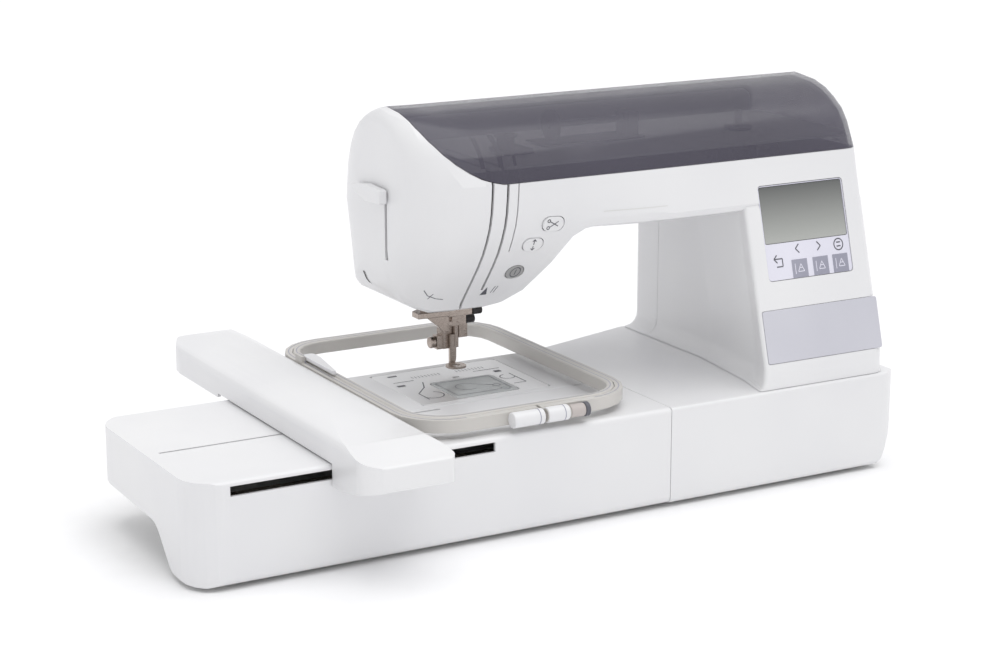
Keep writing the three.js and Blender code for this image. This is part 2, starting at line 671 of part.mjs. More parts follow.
// The smoke lid's region, seen from the front: a curve rising to the left end of the head.
function lidRegion(grow) {
  const left = HEAD_X0;
  const curve = [
    [66, 0], [57, 2], [48, 5], [39, 10], [30.5, 16], [23, 23.5], [17, 32], [13, 41], [9, 55], [7, 72],
  ];
  const points = [[COLUMN_X1 + 5, LID_Z - grow], [COLUMN_X1 + 5, TOP_H + 50], [left - 8 - grow, TOP_H + 50]];
  for (const [dx, dz] of curve.toReversed()) {
    points.push([left + dx - grow * 0.7, LID_Z + dz - grow]);
  }
  const back = LID_HINGE_Y + grow;
  return prism("y", points, 0, back);
}

const BUTTONS = [
  { name: "start_stop_button", x: 91, up: 32, w: 15, h: 15, r: 7.4, finish: "grey" },
  { name: "needle_position_button", x: 97, up: 56, w: 17, h: 12, r: 5.8, finish: "casing" },
  { name: "thread_cutter_button", x: 110, up: 72, w: 18, h: 12, r: 5.8, finish: "casing" },
];

const PRESSER_Y = NEEDLE_Y + 13;
const BAR_R = 3.2;
const LIFTER_BACK = 21; // lifting lever's pivot behind the presser bar
const LIFTER_X0 = NEEDLE_X + BAR_R + 3;
const LIFTER_W = 10;

// Place and backward tilt of a button on the head's front.
function buttonSeat({ x, up }) {
  const at = HEAD_X0 + x;
  const z = HEAD_Z0 + up;
  const slope = (armFront(at, z - 4) - armFront(at, z + 4)) / 8;
  return { at, y: armFront(at, z), z, tilt: Math.atan(slope) };
}

function buttonBody(button, from, to, grow) {
  const { w, h, r } = button;
  const { at, y, z, tilt } = buttonSeat(button);
  const shape = outline(rectangle(-w / 2 - grow, w / 2 + grow, -h / 2 - grow, h / 2 + grow, r));
  return moved(prism("y", shape, from, to), at, y, z, tilt);
}

// A prism on the leaning front: x and height along the slope, depth into the casing.
function panelBody(points, from, to) {
  const base = prism("y", points, from, to);
  return moved(base, 0, columnFront(DISPLAY_Z0), DISPLAY_Z0, -LEAN_ANGLE);
}

const TAKE_UP_IN = 69; // take-up lever and its slot from the head's left end
const THREAD_SLOTS = [
  { x: 56, w: 2.2, z0: HEAD_Z0 - 5 },
  { x: TAKE_UP_IN, w: 2.2, z0: HEAD_Z0 + 18 },
  { x: 78, w: 1, z0: HEAD_Z0 + 52 },
];
const THREADER_Y = 114;
const THREADER_Z = HEAD_Z0 + 93;
const THREADER_TRAVEL = 45;
const LAMP_X0 = HEAD_X0 + 32;
const LAMP_W = 14;
const LAMP_Y0 = NEEDLE_Y - 12;
const LAMP_D = 24;
const NAME_UP = -NAME_DROP / Math.cos(LEAN_ANGLE);

function casingCuts() {
  const cuts = THREAD_SLOTS.map(({ x, w, z0 }) =>
    box(HEAD_X0 + x - w / 2, HEAD_X0 + x + w / 2, 20, NEEDLE_Y - 40, z0, LID_Z + 2));
  cuts.push(box(NEEDLE_X - 34, NEEDLE_X + 33, NEEDLE_Y - 24, PRESSER_Y + 12, HEAD_Z0 - 5, HEAD_Z0 + 5));
  cuts.push(box(LIFTER_X0 - 1, LIFTER_X0 + LIFTER_W + 1, PRESSER_Y, BACK_Y - 6, HEAD_Z0 - 5, HEAD_Z0 + 14));
  cuts.push(box(LAMP_X0, LAMP_X0 + LAMP_W, LAMP_Y0, LAMP_Y0 + LAMP_D, HEAD_Z0 - 5, HEAD_Z0 + 6));
  cuts.push(box(HEAD_X0 - 2, HEAD_X0 + 8, THREADER_Y - 2, THREADER_Y + 2,
    THREADER_Z - THREADER_TRAVEL - 4, THREADER_Z + 4));
  for (const button of BUTTONS) {
    cuts.push(buttonBody(button, -4, 9, GAP));
  }
  cuts.push(panelBody(outline(rectangle(DISPLAY_X0 - GAP, DISPLAY_X0 + DISPLAY_W + GAP,
    -GAP, DISPLAY_H + GAP, 3)), -2, 6));
  cuts.push(panelBody(outline(rectangle(NAME_X0 - GAP, NAME_X0 + NAME_W + GAP,
    NAME_UP - GAP, NAME_UP + NAME_H + GAP, 2)), -2, 1.2));
  cuts.push(rod("x", NEEDLE_Y, SHAFT_Z, SHAFT_R + 2, COLUMN_X1 - 6, COLUMN_X1 + 6));
  for (let k = 0; k < 7; k++) {
    cuts.push(box(COLUMN_X0 + 20 + 9 * k, COLUMN_X0 + 24 + 9 * k, BACK_Y - 8, BACK_Y + 2, 104, 150));
  }
  return cuts;
}

function upperCasings() {
  const outer = join(armSolid(0), columnSolid(0, COVER_Z0));
  const inner = join(armSolid(WALL), columnSolid(WALL, COVER_Z0 - 1));
  const shell = cut(outer, inner);
  const lid = overlap(shell, lidRegion(0));
  const rest = cut(shell, lidRegion(SEAM), ...casingCuts());
  const splitY = LID_HINGE_Y + SEAM;
  const backHalf = box(HEAD_X0 - 5, COLUMN_X1 + 9, splitY, BED_D + 9, 0, TOP_H + 9);
  const backHalfWide = box(HEAD_X0 - 5, COLUMN_X1 + 9, splitY - SEAM, BED_D + 9, 0, TOP_H + 9);
  add("arm_front_cover", cut(rest, backHalfWide), "casing");
  add("arm_rear_cover", overlap(rest, backHalf), "casing");
  add("top_lid", lid, "smoke");

  const roomInside = armSolid(WALL + GAP);
  const slab = box(HEAD_X0 + 22, COLUMN_X1 - WALL - GAP, 0, LID_HINGE_Y - 8, DECK_Z, DECK_Z + 2.2);
  const threadGap = box(HEAD_X0 + 54, HEAD_X0 + 58, 40, 150, DECK_Z - 1, DECK_Z + 4);
  const leverGap = box(HEAD_X0 + TAKE_UP_IN - 2, HEAD_X0 + TAKE_UP_IN + 2, 40, 150, DECK_Z - 1, DECK_Z + 4);
  const spindleGap = box(COLUMN_X0 + 12, COLUMN_X0 + 26, 108, 116, DECK_Z - 1, DECK_Z + 4);
  add("arm_top_deck", cut(overlap(slab, roomInside), threadGap, leverGap, spindleGap), "inner");
}

// ---------------------------------------------------------------- display panel
function displayPanel() {
  const frame = panelBody(outline(rectangle(DISPLAY_X0, DISPLAY_X0 + DISPLAY_W, 0, DISPLAY_H, 3)), 0.6, 3.2);
  const screenX0 = DISPLAY_X0 + 1.2;
  const screenX1 = DISPLAY_X0 + DISPLAY_W - 1.2;
  const screenTop = DISPLAY_H - 1.2;
  const screenLow = screenTop - SCREEN_H;
  const window = panelBody(
    outline(rectangle(screenX0 - GAP, screenX1 + GAP, screenLow - GAP, screenTop + GAP, 1.5)), -1, 5);
  add("display_frame", cut(frame, window), "keypad");
  add("display_glass", panelBody(
    outline(rectangle(screenX0, screenX1, screenLow, screenTop, 1.5)), 0.9, 3), "screen");
  add("name_plate", panelBody(
    outline(rectangle(NAME_X0, NAME_X0 + NAME_W, NAME_UP, NAME_UP + NAME_H, 2)), -0.3, 0.8), "silver");
  for (const button of BUTTONS) {
    add(button.name, buttonBody(button, -1, 6, 0), button.finish);
  }
}

// ---------------------------------------------------------------- drive train
function driveTrain() {
  const crankX = NEEDLE_X + 10;
  const shaft = join(
    rod("x", NEEDLE_Y, SHAFT_Z, SHAFT_R, crankX, COLUMN_X1 + HANDWHEEL_W, 20),
    rod("x", NEEDLE_Y, SHAFT_Z, 17, crankX - 6, crankX, 32),
  );
  add("main_shaft", shaft, "steel");
  const bore = SHAFT_R + 0.3;
  const pulleyX1 = PULLEY_X0 + PULLEY_W;
  add("upper_pulley", tube("x", NEEDLE_Y, SHAFT_Z, PULLEY_R, bore, PULLEY_X0, pulleyX1), "iron");
  const wheelX = COLUMN_X1 + 1.5;
  const wheel = join(
    tube("x", NEEDLE_Y, SHAFT_Z, HANDWHEEL_R - 1.5, SHAFT_R + 0.3, wheelX, wheelX + HANDWHEEL_W, 40),
    tube("x", NEEDLE_Y, SHAFT_Z, HANDWHEEL_R, SHAFT_R + 0.3, wheelX + 3, wheelX + HANDWHEEL_W - 3, 40),
  );
  const wheelX1 = wheelX + HANDWHEEL_W;
  const dish = tube("x", NEEDLE_Y, SHAFT_Z, HANDWHEEL_R - 6, 11, wheelX1 - 4, wheelX1 + 1, 40);
  add("handwheel", cut(wheel, dish), "casing");

  const lower = join(
    rod("x", LOWER_Y, LOWER_Z, SHAFT_R, NEEDLE_X - 20, PULLEY_X0 + PULLEY_W + 8, 20),
    rod("x", LOWER_Y, LOWER_Z, 11.6, NEEDLE_X - 4, NEEDLE_X + 4, 28),
  );
  add("lower_shaft", lower, "steel");
  add("lower_pulley", tube("x", LOWER_Y, LOWER_Z, PULLEY_R, bore, PULLEY_X0, pulleyX1), "iron");

  const beltLoop = (r) => {
    const tilt = Math.atan2(NEEDLE_Y - LOWER_Y, SHAFT_Z - LOWER_Z);
    const points = [];
    for (let k = 0; k <= 14; k++) {
      const t = Math.PI + (Math.PI * k) / 14 - tilt;
      points.push([LOWER_Y + r * Math.cos(t), LOWER_Z + r * Math.sin(t)]);
    }
    for (let k = 0; k <= 14; k++) {
      const t = (Math.PI * k) / 14 - tilt;
      points.push([NEEDLE_Y + r * Math.cos(t), SHAFT_Z + r * Math.sin(t)]);
    }
    return points;
  };
  const beltIn = PULLEY_R + GAP;
  add("timing_belt", prism("x", beltLoop(beltIn + BELT_T), PULLEY_X0 + 0.8, PULLEY_X0 + PULLEY_W - 0.8,
    beltLoop(beltIn)), "rubber");

  const beamZ = SHAFT_Z - SHAFT_R - 12;
  const beam = cut(
    join(
      box(NEEDLE_X + 26, PULLEY_X0 - 10, NEEDLE_Y + 12, NEEDLE_Y + 20, beamZ + 4, beamZ + 30),
      box(NEEDLE_X + 26, NEEDLE_X + 40, NEEDLE_Y - 14, NEEDLE_Y + 14, beamZ + 4, beamZ + 30),
      box(PULLEY_X0 - 24, PULLEY_X0 - 10, NEEDLE_Y - 14, NEEDLE_Y + 14, beamZ + 4, beamZ + 30),
    ),
    rod("x", NEEDLE_Y, SHAFT_Z, SHAFT_R + 0.4, NEEDLE_X, PULLEY_X0, 20),
  );
  add("arm_frame", beam, "iron");
}

// ---------------------------------------------------------------- needle, presser and thread parts

function needleParts() {
  const clampZ = BED_H + NEEDLE_STROKE + 12;
  add("needle_bar", rod("z", NEEDLE_X, NEEDLE_Y, BAR_R, clampZ + 6, DECK_Z - 6, 20), "steel");
  const clamp = cut(
    join(
      box(NEEDLE_X - 6, NEEDLE_X + 6.5, NEEDLE_Y - 5.5, NEEDLE_Y + 4.2, clampZ, clampZ + 13),
      box(NEEDLE_X - 11, NEEDLE_X - 5, NEEDLE_Y - 3, NEEDLE_Y + 3, clampZ + 3, clampZ + 9),
    ),
    rod("z", NEEDLE_X, NEEDLE_Y, BAR_R + 0.35, clampZ + 5.6, clampZ + 14, 20),
    rod("z", NEEDLE_X, NEEDLE_Y, 1.35, clampZ - 1, clampZ + 6, 12),
    rod("x", NEEDLE_Y, clampZ + 3, 1.5, NEEDLE_X + 3.4, NEEDLE_X + 8, 12),
  );
  add("needle_clamp", clamp, "steel");
  const screw = join(
    rod("x", NEEDLE_Y, clampZ + 3, 1.2, NEEDLE_X + 3.6, NEEDLE_X + 9, 12),
    rod("x", NEEDLE_Y, clampZ + 3, 3.6, NEEDLE_X + 7, NEEDLE_X + 16, 16),
  );
  add("needle_clamp_screw", screw, "dark");
  const tip = BED_H + 13;
  const needle = loft("z", [
    [tip, 0.12], [tip + 4, 0.5], [clampZ - 9, 0.55], [clampZ - 7, 1], [clampZ + 5.2, 1],
  ]
    .map(([z, r]) => ({ at: z, points: circle(NEEDLE_X, NEEDLE_Y, r, 12) })));
  add("needle", needle, "steel");

  const leverX = HEAD_X0 + TAKE_UP_IN;
  const pivotY = NEEDLE_Y - 29;
  const pivotZ = SHAFT_Z - 33;
  const lever = join(
    prism("x", outline([
      [pivotY - 15, pivotZ - 7, 3], [pivotY + 6, pivotZ - 7, 3], [pivotY + 6, pivotZ + 7, 3],
      [pivotY - 53, pivotZ + 39, 2], [pivotY - 61, pivotZ + 37, 2], [pivotY - 59, pivotZ + 30, 2],
    ]), leverX - 0.6, leverX + 0.6),
    rod("x", pivotY, pivotZ, 4, leverX - 3, leverX + 7, 20),
  );
  const eye = rod("x", pivotY - 54, pivotZ + 34.5, 1.5, leverX - 5, leverX + 5, 12);
  add("take_up_lever", cut(lever, eye), "steel");
}

function presserParts() {
  add("presser_bar", rod("z", NEEDLE_X, PRESSER_Y, BAR_R - 0.2, BED_H + 38, DECK_Z - 20, 20), "steel");
  const holderZ = BED_H + 22;
  const holder = cut(
    join(
      box(NEEDLE_X - 7, NEEDLE_X + 7, PRESSER_Y - 5, PRESSER_Y + 6, holderZ, holderZ + 24),
      box(NEEDLE_X - 12, NEEDLE_X - 3, PRESSER_Y - 4, PRESSER_Y + 4, holderZ, holderZ + 11),
    ),
    rod("z", NEEDLE_X, PRESSER_Y, BAR_R + 0.15, holderZ + 15, holderZ + 25, 20),
    rod("x", PRESSER_Y, holderZ + 5.5, 1.7, NEEDLE_X - 13, NEEDLE_X - 5, 12),
  );
  add("foot_holder", holder, "steel");
  const thumb = join(
    rod("x", PRESSER_Y, holderZ + 5.5, 1.4, NEEDLE_X - 14, NEEDLE_X - 5.4, 12),
    rod("x", PRESSER_Y, holderZ + 5.5, 4.6, NEEDLE_X - 17, NEEDLE_X - 12.4, 18),
  );
  add("foot_thumb_screw", thumb, "steel");
  const soleZ = BED_H + 8.5;
  const foot = join(
    cut(
      prism(
        "z", outline(rectangle(NEEDLE_X - 8, NEEDLE_X + 8, NEEDLE_Y - 8, NEEDLE_Y + 8, 7)),
        soleZ, soleZ + 1.6,
      ),
      rod("z", NEEDLE_X, NEEDLE_Y, 3.4, soleZ - 1, soleZ + 3, 20),
    ),
    box(NEEDLE_X - 2.4, NEEDLE_X + 2.4, NEEDLE_Y + 5, NEEDLE_Y + 7.6, soleZ, holderZ + 12),
    box(NEEDLE_X + 1.6, NEEDLE_X + 4.6, NEEDLE_Y + 4.6, NEEDLE_Y + 7.6, holderZ + 2, holderZ + 25),
  );
  add("embroidery_foot", foot, "steel");

  const pivotY = PRESSER_Y + LIFTER_BACK;
  const pivotZ = HEAD_Z0 + 19;
  const lifter = join(
    rod("x", pivotY, pivotZ, 5, LIFTER_X0 - 2, LIFTER_X0 + LIFTER_W + 2, 20),
    prism("x", outline([
      [pivotY - 4, pivotZ - 2, 2], [pivotY + 3, pivotZ - 24, 4], [pivotY + 27, pivotZ - 30, 2],
      [pivotY + 28, pivotZ - 26, 2], [pivotY + 8, pivotZ - 19, 5], [pivotY + 4, pivotZ + 3, 2],
    ]), LIFTER_X0, LIFTER_X0 + LIFTER_W),
  );
  add("presser_lifter", lifter, "dark");
}

function headFittings() {
  const tab = prism("x", outline([
    [THREADER_Y - 5, THREADER_Z - 5, 2],
    [THREADER_Y + 20, THREADER_Z - 6, 3],
    [THREADER_Y + 44, THREADER_Z + 0.5, 1.2],
    [THREADER_Y + 44, THREADER_Z + 4, 1.2],
    [THREADER_Y + 20, THREADER_Z + 7, 3],
    [THREADER_Y - 5, THREADER_Z + 6, 2],
  ]), HEAD_X0 - 8, HEAD_X0 - 1.2);
  const stem = box(
    HEAD_X0 - 3, HEAD_X0 + 7, THREADER_Y - 1.2, THREADER_Y + 1.2, THREADER_Z - 3, THREADER_Z + 3,
  );
  add("threader_lever", join(tab, stem), "casing");
  const lamp = box(
    LAMP_X0 + GAP, LAMP_X0 + LAMP_W - GAP, LAMP_Y0 + GAP, LAMP_Y0 + LAMP_D - GAP, HEAD_Z0 + 1, HEAD_Z0 + 4.6);
  add("lamp_lens", lamp, "clear");
}

// ---------------------------------------------------------------- thread supply under the lid
function threadSupply() {
  const pinX0 = HEAD_X0 + 148;
  const pinZ = DECK_Z + 17;
  const pinY = 128;
  const pin = join(
    rod("x", pinY, pinZ, 2.6, pinX0, pinX0 + 74, 16),
    box(pinX0 + 70, pinX0 + 80, pinY - 9, pinY + 9, DECK_Z + 2.6, pinZ + 5),
  );
  add("spool_pin", pin, "dark");
  add("spool_cap", tube("x", pinY, pinZ, 12, 3, pinX0 + 2, pinX0 + 7, 28), "dark");

  const winderX = COLUMN_X0 + 19;
  const winder = join(
    rod("z", winderX, 112, 3, DECK_Z - 12, DECK_Z + 18, 18),
    rod("z", winderX, 112, 11, DECK_Z + 3, DECK_Z + 5, 28),
    rod("z", winderX, 112, 8, DECK_Z - 14, DECK_Z - 8, 24),
  );
  add("bobbin_winder", winder, "grey");
  const guideX = HEAD_X0 + 92;
  add("thread_guide", join(
    box(guideX, guideX + 26, 96, 120, DECK_Z + 2.6, DECK_Z + 6),
    rod("z", guideX + 8, 108, 7, DECK_Z + 4, DECK_Z + 16, 24),
    rod("z", guideX + 8, 108, 9, DECK_Z + 15, DECK_Z + 17, 24),
  ), "dark");
}

// ---------------------------------------------------------------- carriage and hoop
const NOSE_Z = BED_H - 15.5; // bottom of the nose that hangs in front of the unit
const TONGUE_W = 30;
const TAIL_DROP = 3.2; // the overhanging rear end reaches lower than the rest

function carriagePlan(inset) {
  return outline([
    [CARRIAGE_X0, -CARRIAGE_FRONT, 18],
    [CARRIAGE_X1, -CARRIAGE_FRONT, 8],
    [CARRIAGE_X1, CARRIAGE_BACK, CARRIAGE_W / 2 - 0.2],
    [CARRIAGE_X0, CARRIAGE_BACK, CARRIAGE_W / 2 - 0.2],
  ], inset);
}

function carriageSide(inset) {
  return outline([
    [-CARRIAGE_FRONT, NOSE_Z + 8, 3],
    [-14, NOSE_Z, 20],
    [-1, NOSE_Z, 1],
    [-1, CARRIAGE_Z0, 0.4],
    [ARM_Y1 + 2, CARRIAGE_Z0, 0.4],
    [ARM_Y1 + 2, CARRIAGE_Z0 - TAIL_DROP, 0.4],
    [CARRIAGE_BACK, CARRIAGE_Z0 - TAIL_DROP, 1],
    [CARRIAGE_BACK, CARRIAGE_Z1 - 3, 5],
    [CARRIAGE_BACK - 45, CARRIAGE_Z1 + CARRIAGE_CROWN + 1, 60],
    [60, CARRIAGE_Z1 + CARRIAGE_CROWN, 100],
    [-20, CARRIAGE_Z1 - 4, 60],
    [-CARRIAGE_FRONT, CARRIAGE_Z1 - 12, 3],
  ], inset);
}

function carriageCrown(inset) {
  return outline([
    [CARRIAGE_X0, NOSE_Z - 5, 0.5],
    [CARRIAGE_X1, NOSE_Z - 5, 0.5],
    [CARRIAGE_X1, CARRIAGE_Z1 - 8, 6],
    [CARRIAGE_X0 + 0.73 * CARRIAGE_W, CARRIAGE_Z1 + 0.3 * CARRIAGE_CROWN, 60],
    [CARRIAGE_X0 + 0.31 * CARRIAGE_W, CARRIAGE_Z1 + CARRIAGE_CROWN, 40],
    [CARRIAGE_X0, CARRIAGE_Z1 - 4, 7],
  ], inset);
}

const carriageBody = (inset) => overlap(
  prism("z", carriagePlan(inset), NOSE_Z - 5, CARRIAGE_Z1 + 9),
  prism("x", carriageSide(inset), CARRIAGE_X0 - 1, CARRIAGE_X1 + 1),
  prism("y", carriageCrown(inset), -CARRIAGE_FRONT - 1, CARRIAGE_BACK + 1),
);

const HOLDER_Y0 = 96;
const HOLDER_D = 66;
const Y_RAIL_X = CARRIAGE_X0 + 40;

function carriage() {
  const midX = CARRIAGE_X0 + CARRIAGE_W / 2;
  const openBottom = box(
    CARRIAGE_X0 + WALL, CARRIAGE_X1 - WALL, 4, CARRIAGE_BACK - 14, BED_H - 4, CARRIAGE_Z0 + 2 * WALL,
  );
  const sideSlot = box(
    CARRIAGE_X1 - 2 * WALL, CARRIAGE_X1 + 1, -22, CARRIAGE_BACK - 30, BED_H + 6.5, BED_H + 12,
  );
  const tongueDoor = box(midX - TONGUE_W / 2 - 1, midX + TONGUE_W / 2 + 1, -6, 1, BED_H - 10, BED_H - 3);
  add("carriage_cover", cut(carriageBody(0), carriageBody(WALL), openBottom, sideSlot, tongueDoor), "casing");

  const slider = cut(
    box(midX - 12, midX + 12, RAIL_Y - 10, RAIL_Y + 10, RAIL_Z - 9, BED_H - 5),
    rod("x", RAIL_Y, RAIL_Z, RAIL_R + 0.4, midX - 20, midX + 20, 20),
  );
  const floorPlate = overlap(
    prism("z", carriagePlan(WALL + GAP), CARRIAGE_Z0 + 0.6, CARRIAGE_Z0 + 2.6),
    box(CARRIAGE_X0, CARRIAGE_X1, 4.5, CARRIAGE_BACK - 15, BED_H, BED_H + 20),
  );
  const base = join(
    floorPlate,
    box(midX - TONGUE_W / 2, midX + TONGUE_W / 2, -26, 6, CARRIAGE_Z0 + 3.2, CARRIAGE_Z0 + 5.2),
    box(midX - TONGUE_W / 2, midX + TONGUE_W / 2, 4.6, 7, CARRIAGE_Z0 + 1, CARRIAGE_Z0 + 5.2),
    box(midX - TONGUE_W / 2, midX + TONGUE_W / 2, -26, -22, BED_H - 8.5, CARRIAGE_Z0 + 5.2),
    box(midX - TONGUE_W / 2, midX + TONGUE_W / 2, -26, RAIL_Y, BED_H - 8.5, BED_H - 5),
    box(
      midX - TONGUE_W / 2, midX + TONGUE_W / 2, GROOVE_Y - 0.6, GROOVE_Y + 0.6,
      BED_H - 7, CARRIAGE_Z0 + 1.5,
    ),
    slider,
  );
  add("carriage_base", base, "inner");
  add("carriage_rail", rod("y", Y_RAIL_X, BED_H + 12, 2.6, 8, CARRIAGE_BACK - 18, 16), "steel");

  const holder = join(
    cut(
      box(Y_RAIL_X - 8, Y_RAIL_X + 10, HOLDER_Y0, HOLDER_Y0 + HOLDER_D, BED_H + 7.5, BED_H + 17),
      rod("y", Y_RAIL_X, BED_H + 12, 3, HOLDER_Y0 - 1, HOLDER_Y0 + HOLDER_D + 1, 16),
    ),
    box(Y_RAIL_X + 5, HOOP_X0 - 0.3, HOLDER_Y0, HOLDER_Y0 + HOLDER_D, BED_H + 7.5, BED_H + 11),
  );
  add("hoop_holder", holder, "inner");
}

function hoopPlan(inset) {
  return outline(rectangle(HOOP_X0, HOOP_X0 + HOOP_W, HOOP_Y0, HOOP_Y0 + HOOP_D, HOOP_R), inset);
}

const CLAMP_X = HOOP_X0 + 102.5; // split of the outer ring
const CLAMP_LUG = 20;

function hoop() {
  const split = 2.4;
  const leverY0 = HOLDER_Y0 + HOLDER_D - 4;
  const leverY1 = leverY0 + 56;
  const lugY = HOOP_Y0 - 11;
  const clampY = lugY + 5.2;
  const clampZ = HOOP_Z0 + 5;
  const lugs = join(...[CLAMP_X - split / 2 - CLAMP_LUG, CLAMP_X + split / 2].flatMap((x) => [
    rod("x", clampY, clampZ, 5, x, x + CLAMP_LUG, 24),
    box(x, x + CLAMP_LUG, clampY, HOOP_Y0 + 2, HOOP_Z0 + 0.8, HOOP_Z1 - 0.8),
  ]));
  const bracket = join(
    box(HOOP_X0, HOOP_X0 + 4, HOLDER_Y0 - 10, HOLDER_Y0 + HOLDER_D + 10, HOOP_Z0, HOOP_Z1),
    box(HOOP_X0, HOOP_X0 + 3.4, leverY1 - 8, leverY1 + 4, HOOP_Z1 - 1, HOOP_Z1 + 5.4),
  );
  const screwRoom = rod("x", clampY, clampZ, 2.2, CLAMP_X - 17, CLAMP_X + CLAMP_LUG + 3, 16);
  const outer = cut(
    join(prism("z", hoopPlan(0), HOOP_Z0, HOOP_Z1, hoopPlan(RING_W)), lugs, bracket),
    box(
      CLAMP_X - split / 2, CLAMP_X + split / 2, HOOP_Y0 - 20, HOOP_Y0 + RING_W + 1,
      HOOP_Z0 - 1, HOOP_Z1 + 1,
    ),
    screwRoom,
  );
  add("hoop_outer_ring", outer, "hoop");
  const inner = prism("z", hoopPlan(RING_W + GAP), HOOP_Z0, HOOP_Z1 + 0.6, hoopPlan(2 * RING_W + GAP));
  add("hoop_inner_ring", inner, "hoop");
  const screw = join(
    rod("x", clampY, clampZ, 1.8, CLAMP_X - 16, CLAMP_X + CLAMP_LUG + 4, 16),
    rod("x", clampY, clampZ, 5, CLAMP_X + CLAMP_LUG + 1.6, CLAMP_X + CLAMP_LUG + 14, 20),
  );
  add("hoop_clamp_screw", screw, "grey");
  const lever = prism("z", outline([
    [HOOP_X0 + 4, leverY0, 1], [HOOP_X0 + 6.6, leverY0 - 2, 1], [HOOP_X0 + 14, leverY0 + 42, 3],
    [HOOP_X0 + 14, leverY1, 3], [HOOP_X0 + 4, leverY1, 3],
  ]), HOOP_Z1 + 1.8, HOOP_Z1 + 5);
  add("frame_lever", lever, "casing");
}

// ---------------------------------------------------------------- switches, feet and small movers
function switchesAndFeet() {
  const rocker = join(
    box(BED_X1 - 16, BED_X1 - 4.6, 130.8, 153.2, 27, 43),
    rod("y", BED_X1 - 14, 35, 5, 130.8, 153.2, 20),
  );
  add("power_switch", rocker, "dark");
  const feet = {
    foot_front_right: [BED_X1 - 44, 30],
    foot_rear_right: [BED_X1 - 48, BED_D - 34],
    foot_rear_middle: [BED_X0 + 44, ARM_Y1 - 34],
    unit_foot: [90, 26],
  };
  for (const [name, [x, y]] of Object.entries(feet)) {
    add(name, rod("z", x, y, FOOT_R, 0, FOOT_H - 0.3, 24), "rubber");
  }
}

embroideryUnit();
releaseLever();
bed();
freeArm();
needlePlate();
rotaryHook();
upperCasings();
displayPanel();
driveTrain();
needleParts();
presserParts();
headFittings();
threadSupply();
carriage();
hoop();
switchesAndFeet();

const footprint = new THREE.Box3().setFromObject(machine);
const middle = footprint.getCenter(new THREE.Vector3());
const group = new THREE.Group();
machine.position.set(-middle.x, -middle.y, -footprint.min.z);
group.add(machine);

export default group;
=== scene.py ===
import json
import math

import bmesh
import bpy
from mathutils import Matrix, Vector
from mathutils.bvhtree import BVHTree

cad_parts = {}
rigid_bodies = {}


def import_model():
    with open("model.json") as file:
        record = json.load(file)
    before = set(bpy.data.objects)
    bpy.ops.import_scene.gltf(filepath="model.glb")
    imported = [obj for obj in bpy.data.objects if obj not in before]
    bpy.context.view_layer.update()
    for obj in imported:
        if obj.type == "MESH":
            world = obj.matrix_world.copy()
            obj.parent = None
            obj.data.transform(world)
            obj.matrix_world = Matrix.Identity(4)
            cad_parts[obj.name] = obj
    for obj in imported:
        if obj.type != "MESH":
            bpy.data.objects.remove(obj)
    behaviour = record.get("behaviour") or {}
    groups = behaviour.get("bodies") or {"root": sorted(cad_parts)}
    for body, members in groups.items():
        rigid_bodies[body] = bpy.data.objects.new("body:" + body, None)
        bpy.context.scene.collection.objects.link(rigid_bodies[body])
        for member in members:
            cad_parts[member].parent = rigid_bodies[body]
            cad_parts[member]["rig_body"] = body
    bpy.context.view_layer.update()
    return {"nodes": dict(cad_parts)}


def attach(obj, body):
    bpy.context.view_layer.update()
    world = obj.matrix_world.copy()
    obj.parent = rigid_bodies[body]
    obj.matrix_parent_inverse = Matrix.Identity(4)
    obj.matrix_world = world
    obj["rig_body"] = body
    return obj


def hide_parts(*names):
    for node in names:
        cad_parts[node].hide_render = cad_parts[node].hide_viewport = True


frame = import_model()

# ------------------------------------------------------------------ sizes, millimetres
ORIGIN_X = 310.45  # row origin from the unit's left end
ORIGIN_Y = 131.5  # row origin from the unit's front face
NEEDLE_X = 292
NEEDLE_Y = 160
PLATE_X0 = 231.5  # needle plate's front left corner
PLATE_Y0 = 101
CLAMP_Y = 1.7  # axis of the hoop clamp's screw
CLAMP_Z = 90.5
WHEEL_Z = 238  # axis of the handwheel, above the needle's line
WHEEL_RIM = 30.9
WHEEL_RIBS = 36
PRINT_RISE = 0.12  # printed marks above the surface
RIBBON_STEP = 1.5
MM = 0.001

FLOOR_EDGE = 20  # metres from the middle
SKY_COLOUR = (0.985, 0.985, 0.99, 1)
SKY_STRENGTH = 0.76
OVERHEAD_TOWARDS = (0.12, -0.12, 1)
OVERHEAD_ENERGY = 1.25
OVERHEAD_SPREAD = 60

CAMERA_AT = (-0.8711, -1.5504, 0.582)
CAMERA_TURN = (75.4, 0, -29.5)
CAMERA_LENS = 83.7


def at(x, y, z):
    return Vector(((x - ORIGIN_X) * MM, (y - ORIGIN_Y) * MM, z * MM))


# ------------------------------------------------------------------ materials
def linear(value):
    return value / 12.92 if value <= 0.04045 else ((value + 0.055) / 1.055) ** 2.4


def tone(red, green, blue):
    return (linear(red / 255), linear(green / 255), linear(blue / 255), 1)


